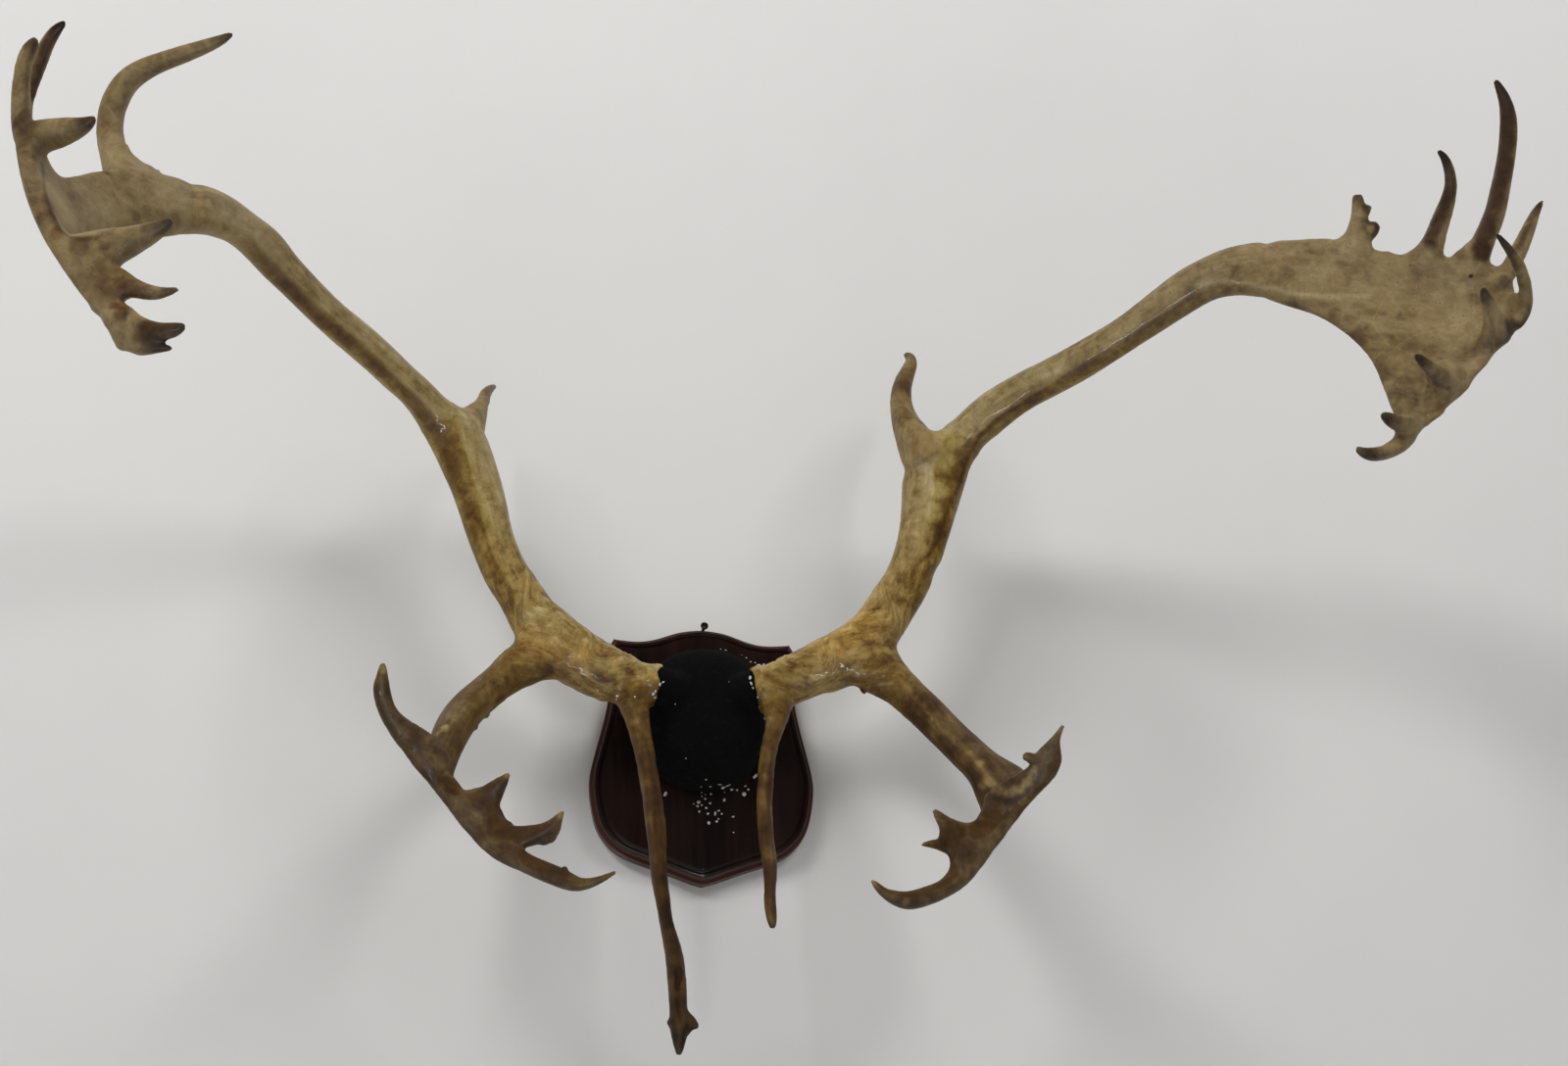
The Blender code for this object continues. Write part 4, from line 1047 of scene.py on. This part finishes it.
def antler_material():
    made, tree = new_material("weathered_antler")
    along = marked(tree, "along")
    grain = put(tree, "Attribute", _attribute_name="grain").outputs["Vector"]

    def streak(width, length, detail=2.0):
        """Noise drawn out along the grain. Width and length in metres."""
        scaled = put(tree, "VectorMath", _operation="SCALE", Scale=1 / width)
        return put(
            tree, "TexNoise", _noise_dimensions="4D", Vector=give_first(tree, scaled, grain),
            W=product(tree, along, 1 / length), Scale=1.0, Detail=detail, Roughness=0.6,
        ).outputs["Fac"]

    # streaks along the grain, and blotches
    broad = streak(0.013, 0.085)
    fine = streak(0.0042, 0.040, 3.0)
    knots = streak(0.0095, 0.018, 2.6)
    patches = cloud(tree, 24.0, 4.0, warp=0.6)
    mottle = cloud(tree, 105.0, 4.0, warp=0.5)
    streaked = marked(tree, "streaked")
    golden = marked(tree, "golden")
    streaks = total(tree, (broad, 0.85), (fine, 0.55), -0.70)
    blotches = total(tree, (mottle, 0.65), (patches, 0.75), -0.70)

    # dark band on the outer side, with a ragged edge
    outer = marked(tree, "outer")
    stained = marked(tree, "stained")
    edge = total(tree, outer, (broad, 0.9), (patches, 0.4), -0.62)
    band = product(tree, step(tree, edge, 0.05, 0.36), stained, step(tree, outer, 0.80, 1.0, 1.0, 0.4))
    # The inner, upper side is painted greyer: painted reflection
    inner_sheen = product(tree, step(tree, outer, 0.2, -0.7), stained)
    streaked_here = product(tree, streaked, step(tree, band, 0.0, 1.0, 1.0, 0.4))

    # dark cracks and knots near the burr, and pale veins where there are few streaks
    knots = calc(tree, "SUBTRACT", knots, 0.5)
    cracks = product(tree, step(tree, calc(tree, "ABSOLUTE", knots), 0.035, 0.0), golden)
    knots = product(tree, knots, golden)
    cells = put(
        tree, "TexVoronoi", _feature="DISTANCE_TO_EDGE", Scale=16.0,
        Vector=warped(tree, 0.035, 9.0),
    ).outputs["Distance"]
    veins = product(tree, step(tree, cells, 0.035, 0.0), calc(tree, "SUBTRACT", 1.0, streaked))

    # colour, darker in the hollows as painted shade
    tone = total(
        tree, marked(tree, "tone"), (streaks, streaked_here), (blotches, marked(tree, "blotched")),
        (band, -0.25), (marked(tree, "hollow"), -0.14), (marked(tree, "ridge"), 0.06),
        (veins, 0.07), (cracks, -0.13), (knots, 1.1),
    )
    grey = total(tree, marked(tree, "grey"), (patches, 0.6), -0.30, (band, -0.6), (inner_sheen, 0.45))
    warm, cold = ramp(tree, tone, WARM_ANTLER), ramp(tree, tone, GREY_ANTLER)
    colour = mix(tree, clamp(tree, grey), warm, cold)
    gold = product(tree, golden, step(tree, patches, 0.42, 0.62, 0.15, 1.0), 0.7)
    colour = mix(tree, gold, colour, GOLD_TINT, "MULTIPLY")
    rust = product(tree, marked(tree, "rust"), step(tree, mottle, 0.36, 0.6, 0.5, 1.0))
    rust_colour = mix(tree, step(tree, tone, 0.1, 0.6), *RUST)
    colour = mix(tree, clamp(tree, rust, 0.85), colour, rust_colour)
    specks = grouped(
        tree, "speckled", Colour=colour, Speck_Colour=DARK_SPECKS, Scale=420.0, Start=0.60,
        Full=0.72, Amount=0.5,
    )

    # gloss and fine relief
    glossy = marked(tree, "glossy")
    relief = grouped(
        tree, "fine_grain", Scale=420.0, Detail=3.0, Strength=0.5, Depth=0.0005,
        Added_Height=total(tree, (fine, 2.0), (mottle, 1.2)),
    )
    surface(
        tree, Base_Color=specks["Colour"], Normal=relief["Normal"],
        Roughness=total(
            tree, step(tree, mottle, 0.3, 0.7, 0.40, 0.54), (fine, 0.12), (glossy, -0.05)
        ),
        Coat_Weight=product(tree, step(tree, mottle, 0.30, 0.62, 0.42, 0.12), glossy),
        Coat_Roughness=0.09, Specular_IOR_Level=0.22,
    )
    return made


# Felt cover

FELT_CELL = 1.4 * MM
# How far off the wall the cover's foot ends and its dome is full, and the same for the dust on it
FELT_FOOT = (24.5 * MM, 32 * MM)
DUSTY_FOOT = (24 * MM, 34 * MM)
BLACK_FELT = ((0.0018, 0.0018, 0.002), (0.0062, 0.0062, 0.0066))
FELT_DUST = (0.20, 0.19, 0.17)


def make_cover():
    """Felt drawn over the skull cap, up to the burrs."""
    obj = round_off(node_copy("skull_cap_cover", "felt_cover"))
    apply_modifier(obj, "REMESH", mode="VOXEL", voxel_size=FELT_CELL, adaptivity=0.0)
    skin = Skin(obj)
    dome = ease(*FELT_FOOT, -skin.points[:, 1])
    skin.fill_creases(60, dome)
    skin.soften(12, dome)
    relief = bumps(skin.points, 16 * MM, 11) * 0.5 + bumps(skin.points, 5 * MM, 12) * 0.28
    relief += bumps(skin.points, 2.4 * MM, 13) * 0.22
    skin.points += skin.normals() * (relief * (0.3 + 0.7 * dome) * MM)[:, None]
    write_points(obj.data, skin.points)
    skin.paint("foot", 1 - ease(*DUSTY_FOOT, -skin.points[:, 1]))
    return finish_piece(obj, ["skull_cap_cover"], felt_material())


def felt_material():
    made, tree = new_material("dusty_felt")
    pile = grouped(
        tree, "fine_grain", Scale=900.0, Warp=1.5, Strength=0.9, Depth=0.0008,
        Added_Height=product(tree, cloud(tree, 160.0), 0.8),
    )
    fibres = pile["Value"]
    foot = step(tree, marked(tree, "foot"), 0.2, 1.0, 0.05, 0.5)
    dust = grouped(
        tree, "speckled", Colour=mix(tree, fibres, *BLACK_FELT), Speck_Colour=FELT_DUST,
        Scale=160.0, Start=0.5, Full=0.75,
        Amount=product(tree, step(tree, fibres, 0.45, 0.7), foot),
    )
    surface(
        tree, Base_Color=dust["Colour"], Normal=pile["Normal"], Roughness=0.95,
        Specular_IOR_Level=0.06, Sheen_Weight=0.012, Sheen_Roughness=0.5,
    )
    return made


# Plaque

# Sharpness of the plaque's edge lines, by their height above the wall
PLAQUE_CREASES = (
    (0.0, 1.0), (12.0 * MM, 0.85), (12.3 * MM, 1.0), (20.0 * MM, 0.25), (21.4 * MM, 0.25),
    (19.8 * MM, 0.7), (22.0 * MM, 0.85),
)
# Ends of an edge line lie at the same height within this
SAME_HEIGHT = 0.05 * MM
# A corner of the outline that turns more than this stays sharp
SHARP_CORNER = math.radians(26)
# Heights between which the moulded edge passes into the flat front
FRONT_START = (17.5 * MM, 20.5 * MM)
PLAQUE_BEVEL = 0.35 * MM
DARK_MAHOGANY = ((0.0045, 0.0020, 0.0016), (0.014, 0.0054, 0.0040))
MAHOGANY_PORES = (0.003, 0.0018, 0.0015)
RED_MAHOGANY = (0.030, 0.010, 0.0065)
# Paler red of the moulded edge: painted sheen of light along the moulding
MOULDING_SHEEN = (0.075, 0.032, 0.022)


def make_plaque():
    """Shield board with a moulded edge, its outline made round between its corners."""
    obj = node_copy("plaque", "shield_plaque", 1)
    with editing(obj):
        bpy.ops.mesh.dissolve_limited(angle_limit=math.radians(0.6))
    crease_plaque(obj.data)
    round_off(obj, levels=3, rounds=2)
    skin = Skin(obj)
    skin.paint("moulded", 1 - ease(*FRONT_START, -skin.points[:, 1]))
    apply_modifier(obj, "BEVEL", width=PLAQUE_BEVEL, segments=2, angle_limit=math.radians(28))
    return finish_piece(obj, ["plaque"], mahogany_material(), sharp_degrees=40)


def crease_plaque(mesh):
    """Keeps the lines of the moulding and the corners of the outline sharp when it is rounded off."""
    work = bmesh.new()
    work.from_mesh(mesh)
    edge_crease = work.edges.layers.float.new("crease_edge")
    point_crease = work.verts.layers.float.new("crease_vert")
    for edge in work.edges:
        ends = [vert.co.y for vert in edge.verts]
        if abs(ends[0] - ends[1]) < SAME_HEIGHT:
            depth = -sum(ends) / 2
            edge[edge_crease] = min((abs(depth - d), c) for d, c in PLAQUE_CREASES)[1]
    for vert in work.verts:
        ways = [edge.other_vert(vert).co - vert.co for edge in vert.link_edges]
        ways = [way for way in ways if abs(way.y) < SAME_HEIGHT]
        if len(ways) == 2 and math.pi - ways[0].angle(ways[1]) > SHARP_CORNER:
            vert[point_crease] = 1.0
    work.to_mesh(mesh)
    work.free()


def mahogany_material():
    made, tree = new_material("varnished_mahogany")
    stretch = put(tree, "Mapping", Vector=object_place(tree), Scale=(1.0, 1.0, 0.06)).outputs[0]
    pores = grouped(
        tree, "fine_grain", Vector=stretch, Scale=900.0, Detail=3.0, Strength=0.35, Depth=0.0004
    )
    figure = cloud(tree, 60.0, 4.0, stretch, warp=1.0)
    colour = mix(tree, step(tree, figure, 0.35, 0.7), *DARK_MAHOGANY)
    colour = mix(tree, step(tree, pores["Value"], 0.56, 0.72, 0.0, 0.7), colour, MAHOGANY_PORES)
    reddish = grouped(
        tree, "speckled", Colour=colour, Speck_Colour=RED_MAHOGANY, Scale=9.0, Detail=2.0,
        Start=0.4, Full=0.7, Amount=0.35,
    )
    smear = cloud(tree, 28.0, 4.0, warp=0.8)
    # The moulded edge is mixed towards a paler red: painted sheen
    surface(
        tree, Base_Color=mix(tree, marked(tree, "moulded"), reddish["Colour"], MOULDING_SHEEN),
        Normal=pores["Normal"], Roughness=step(tree, smear, 0.35, 0.7, 0.32, 0.46),
        Coat_Weight=step(tree, smear, 0.3, 0.7, 0.18, 0.09), Coat_Roughness=0.15,
        Specular_IOR_Level=0.14,
    )
    return made


# Plaster

# Chips are cut from a ball 1 m across, and copied at their real size
CHIP_SHAPES = 3
CHIP_CUTS = 4
CHIP_CUT_FROM_MIDDLE = 0.36
CHIP_ROUGHNESS = 0.22
CHIP_SEED = 20
CRUMB_SEED = 7
CRUMB_THICKNESS = 0.75
CRUMB_LIFT = 0.15
PLASTER = ((0.50, 0.49, 0.47), (0.78, 0.77, 0.75))
SOILED_PLASTER = (0.26, 0.22, 0.17)


def make_chip(number):
    """Angular chip of plaster."""
    bpy.ops.object.select_all(action="DESELECT")
    bpy.ops.mesh.primitive_ico_sphere_add(subdivisions=2, radius=0.5)
    chip = bpy.context.active_object
    with editing(chip):
        for _ in range(CHIP_CUTS):
            away = noise.random_unit_vector()
            bpy.ops.mesh.select_all(action="SELECT")
            bpy.ops.mesh.bisect(
                plane_co=away * CHIP_CUT_FROM_MIDDLE, plane_no=away, use_fill=True, clear_outer=True
            )
    points = read_points(chip.data)
    write_points(chip.data, points * (1 + CHIP_ROUGHNESS * bumps(points, 0.4, number))[:, None])
    return chip


def make_crumbs(carriers):
    """Plaster chips and crumbs, each stuck on what the camera sees at its pixel."""
    noise.seed_set(CRUMB_SEED)
    chips = [make_chip(CHIP_SEED + number) for number in range(CHIP_SHAPES)]
    trees = [search_tree(piece.data) for piece in carriers]
    crumbs = []
    for number, (across, down, long, wide, degrees) in enumerate(CRUMBS):
        ray = sight_ray(across, down)
        hits = [tree.ray_cast(CAMERA_PLACE, ray) for tree in trees]
        hits = [hit for hit in hits if hit[0] is not None]
        if not hits:
            continue
        place, normal = min(hits, key=lambda hit: hit[3])[:2]
        flat = normal.to_track_quat("Z", "Y").to_matrix()
        angle = math.radians(degrees)
        aside = flat.inverted() @ (CAMERA_TURN @ Vector((math.cos(angle), math.sin(angle), 0)))
        spin = Matrix.Rotation(math.atan2(aside.y, aside.x), 3, "Z")
        size = Matrix.Diagonal((long * MM, wide * MM, CRUMB_THICKNESS * wide * MM))
        lift = Matrix.Translation(place + normal * CRUMB_LIFT * wide * MM)
        crumb = add_object("crumb", chips[number % CHIP_SHAPES].data.copy())
        crumb.data.transform(lift @ (flat @ spin @ size).to_4x4())
        crumbs.append(crumb)
    for chip in chips:
        bpy.data.objects.remove(chip, do_unlink=True)
    obj = join(crumbs, "plaster_crumbs")
    return finish_piece(obj, [], plaster_material(), sharp_degrees=38)


def plaster_material():
    made, tree = new_material("dry_plaster")
    grains = grouped(tree, "fine_grain", Scale=700.0, Strength=0.8, Depth=0.0004)
    soiled = grouped(
        tree, "speckled", Colour=mix(tree, grains["Value"], *PLASTER),
        Speck_Colour=SOILED_PLASTER, Scale=160.0, Start=0.5, Full=0.68, Amount=0.55,
    )
    surface(
        tree, Base_Color=soiled["Colour"], Normal=grains["Normal"], Roughness=0.92,
        Specular_IOR_Level=0.2,
    )
    return made


# Screw

SHANK_RADIUS = 1.8 * MM
HEAD_HEIGHT = 2.6 * MM
SLOT_DEPTH = 1.1 * MM
SLOT_WIDTH = 0.9 * MM
SLOT_DEGREES = 20
# How far the shank reaches into the head
SHANK_OVERLAP = 0.5 * MM
DARK_STEEL = (0.05, 0.048, 0.046)
STEEL_SPOTS = (0.022, 0.02, 0.019)


def make_screw():
    """Round-headed wall screw with a slot."""
    low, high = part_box("hanging_screw")
    middle = (low + high) / 2
    head_radius = (high.x - low.x) / 2
    head_start = low.y + HEAD_HEIGHT
    shank_start = head_start - SHANK_OVERLAP
    bpy.ops.object.select_all(action="DESELECT")
    bpy.ops.mesh.primitive_cylinder_add(
        vertices=28, radius=SHANK_RADIUS, depth=high.y - shank_start,
        location=(middle.x, (high.y + shank_start) / 2, middle.z), rotation=(math.pi / 2, 0, 0),
    )
    shank = bpy.context.active_object
    place_in_mesh(shank)
    bpy.ops.mesh.primitive_uv_sphere_add(
        segments=36, ring_count=18, radius=head_radius,
        location=(middle.x, head_start, middle.z), rotation=(math.pi / 2, 0, 0),
    )
    head = bpy.context.active_object
    head.scale = (1, 1, HEAD_HEIGHT / head_radius)
    place_in_mesh(head)
    with editing(head):
        bpy.ops.mesh.bisect(
            plane_co=(0, head_start, 0), plane_no=(0, 1, 0), use_fill=True, clear_outer=True
        )
    bpy.ops.mesh.primitive_cube_add(
        size=1, location=(middle.x, low.y, middle.z), rotation=(0, math.radians(SLOT_DEGREES), 0),
        scale=(3 * head_radius, 2 * SLOT_DEPTH, SLOT_WIDTH),
    )
    slot = bpy.context.active_object
    apply_modifier(head, "BOOLEAN", operation="DIFFERENCE", solver="EXACT", object=slot)
    bpy.data.objects.remove(slot, do_unlink=True)
    apply_modifier(head, "BEVEL", width=0.15 * MM, segments=2, angle_limit=math.radians(40))
    obj = join([head, shank], "wall_screw")
    return finish_piece(obj, ["hanging_screw"], steel_material(), sharp_degrees=35)


def steel_material():
    made, tree = new_material("oxidised_steel")
    spots = grouped(
        tree, "speckled", Colour=DARK_STEEL, Speck_Colour=STEEL_SPOTS, Scale=700.0, Start=0.3,
        Full=0.7,
    )
    surface(
        tree, Base_Color=spots["Colour"], Metallic=0.9,
        Roughness=step(tree, spots["Mask"], 0.0, 1.0, 0.35, 0.6),
    )
    return made


# Studio

WALL_HALF_WIDTH = 4.0
WALL_TOP = 3.0
WALL_BEHIND = 1.0 * MM
# How much of the plaque's back the wall leaves open
WALL_OPENING = 0.965
FLOOR_LEVEL = -1.45
FLOOR_MIDDLE = (0, -1.0, FLOOR_LEVEL)
PALE_WALL = (0.80, 0.80, 0.795)
PALE_FLOOR = (0.72, 0.72, 0.71)

# Lights: name, place, what it is aimed at, width and height in metres, power, and whether it only
# shows as a glint
LIGHTS = (
    ("left_panel", (-2.3, -2.9, 2.5), (0, -0.1, 0.1), (2.2, 1.0), 98, False),
    ("right_panel", (2.2, -3.2, 2.7), (0, -0.1, 0.1), (2.2, 1.0), 67, False),
    ("low_tube", (-0.6, -2.0, -1.38), (-0.2, -0.2, 0.1), (2.0, 0.03), 27, True),
)
LIGHT_COLOUR = (1.0, 0.99, 0.97)
ROOM_COLOUR = (0.9, 0.91, 0.92, 1)
ROOM_STRENGTH = 0.18


def stage_material(name, colour):
    """Plain paint, very slightly uneven."""
    made, tree = new_material(name)
    uneven = grouped(
        tree, "speckled", Colour=colour, Speck_Colour=tuple(v * 0.96 for v in colour), Scale=1.6,
        Detail=4.0, Start=0.3, Full=0.7,
    )
    surface(tree, Base_Color=uneven["Colour"], Roughness=0.9, Specular_IOR_Level=0.1)
    return made


def clear_from_behind(made):
    """Makes the material see-through from behind, so that the mount's back can be looked at."""
    tree = made.node_tree
    back = put(tree, "NewGeometry").outputs["Backfacing"]
    front = tree.nodes["Principled BSDF"].outputs[0]
    clear = put(tree, "BsdfTransparent").outputs[0]
    seen = give_first(tree, put(tree, "MixShader"), back, front, clear)
    give(tree, tree.nodes["Material Output"].inputs["Surface"], seen)
    return made


def make_stage():
    """Pale wall, open behind the plaque, and a pale floor."""
    back = [v.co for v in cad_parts["plaque"].data.vertices if v.co.y > -0.1 * MM]
    outline = sorted({(round(p.x, 5), round(p.z, 5)) for p in back}, key=lambda p: math.atan2(*p))
    opening = [(x * WALL_OPENING, z * WALL_OPENING) for x, z in outline]
    left, right = -WALL_HALF_WIDTH, WALL_HALF_WIDTH
    wall_corners = [(left, FLOOR_LEVEL), (right, FLOOR_LEVEL), (right, WALL_TOP), (left, WALL_TOP)]
    work = bmesh.new()
    edges = []
    for row in (wall_corners, opening):
        corners = [work.verts.new((x, WALL_BEHIND, z)) for x, z in row]
        edges += [work.edges.new((corners[k - 1], corners[k])) for k in range(len(corners))]
    bmesh.ops.triangle_fill(work, use_beauty=True, edges=edges)
    work.normal_update()
    for face in work.faces:
        if face.normal.y > 0:
            face.normal_flip()
    wall = add_object("wall", bpy.data.meshes.new("wall"))
    work.to_mesh(wall.data)
    work.free()
    wall.data.materials.append(clear_from_behind(stage_material("pale_wall", PALE_WALL)))
    bpy.ops.object.select_all(action="DESELECT")
    bpy.ops.mesh.primitive_plane_add(size=2 * WALL_HALF_WIDTH, location=FLOOR_MIDDLE)
    floor = bpy.context.active_object
    floor.name = "floor"
    floor.data.materials.append(stage_material("pale_floor", PALE_FLOOR))


def make_lights():
    """Two soft panels that light the mount, and a low tube that puts a glint on it."""
    for name, place, target, size, power, only_glint in LIGHTS:
        data = bpy.data.lights.new(name, "AREA")
        data.shape = "RECTANGLE"
        data.size, data.size_y = size
        data.energy = power
        data.color = LIGHT_COLOUR
        light = add_object(name, data)
        light.location = place
        aim = Vector(target) - Vector(place)
        light.rotation_euler = aim.to_track_quat("-Z", "Y").to_euler()
        light.visible_glossy = only_glint
        light.visible_diffuse = not only_glint
    world = bpy.data.worlds.new("studio")
    world.use_nodes = True
    give_named(
        world.node_tree, world.node_tree.nodes["Background"],
        {"Color": ROOM_COLOUR, "Strength": ROOM_STRENGTH},
    )
    bpy.context.scene.world = world


def make_camera():
    data = bpy.data.cameras.new("camera")
    data.lens = CAMERA_LENS
    data.sensor_width = CAMERA_SENSOR
    data.clip_start = 0.05
    data.clip_end = 50
    camera = add_object("camera", data)
    camera.matrix_world = Matrix.Translation(CAMERA_PLACE) @ CAMERA_TURN.to_4x4()
    bpy.context.scene.camera = camera


make_camera()
weathered = antler_material()
left_antler = make_antler("left", -1, weathered)
right_antler = make_antler("right", 1, weathered)
make_crumbs([left_antler, right_antler, make_cover(), make_plaque()])
make_screw()
make_stage()
make_lights()
bpy.context.scene.view_settings.view_transform = "Standard"
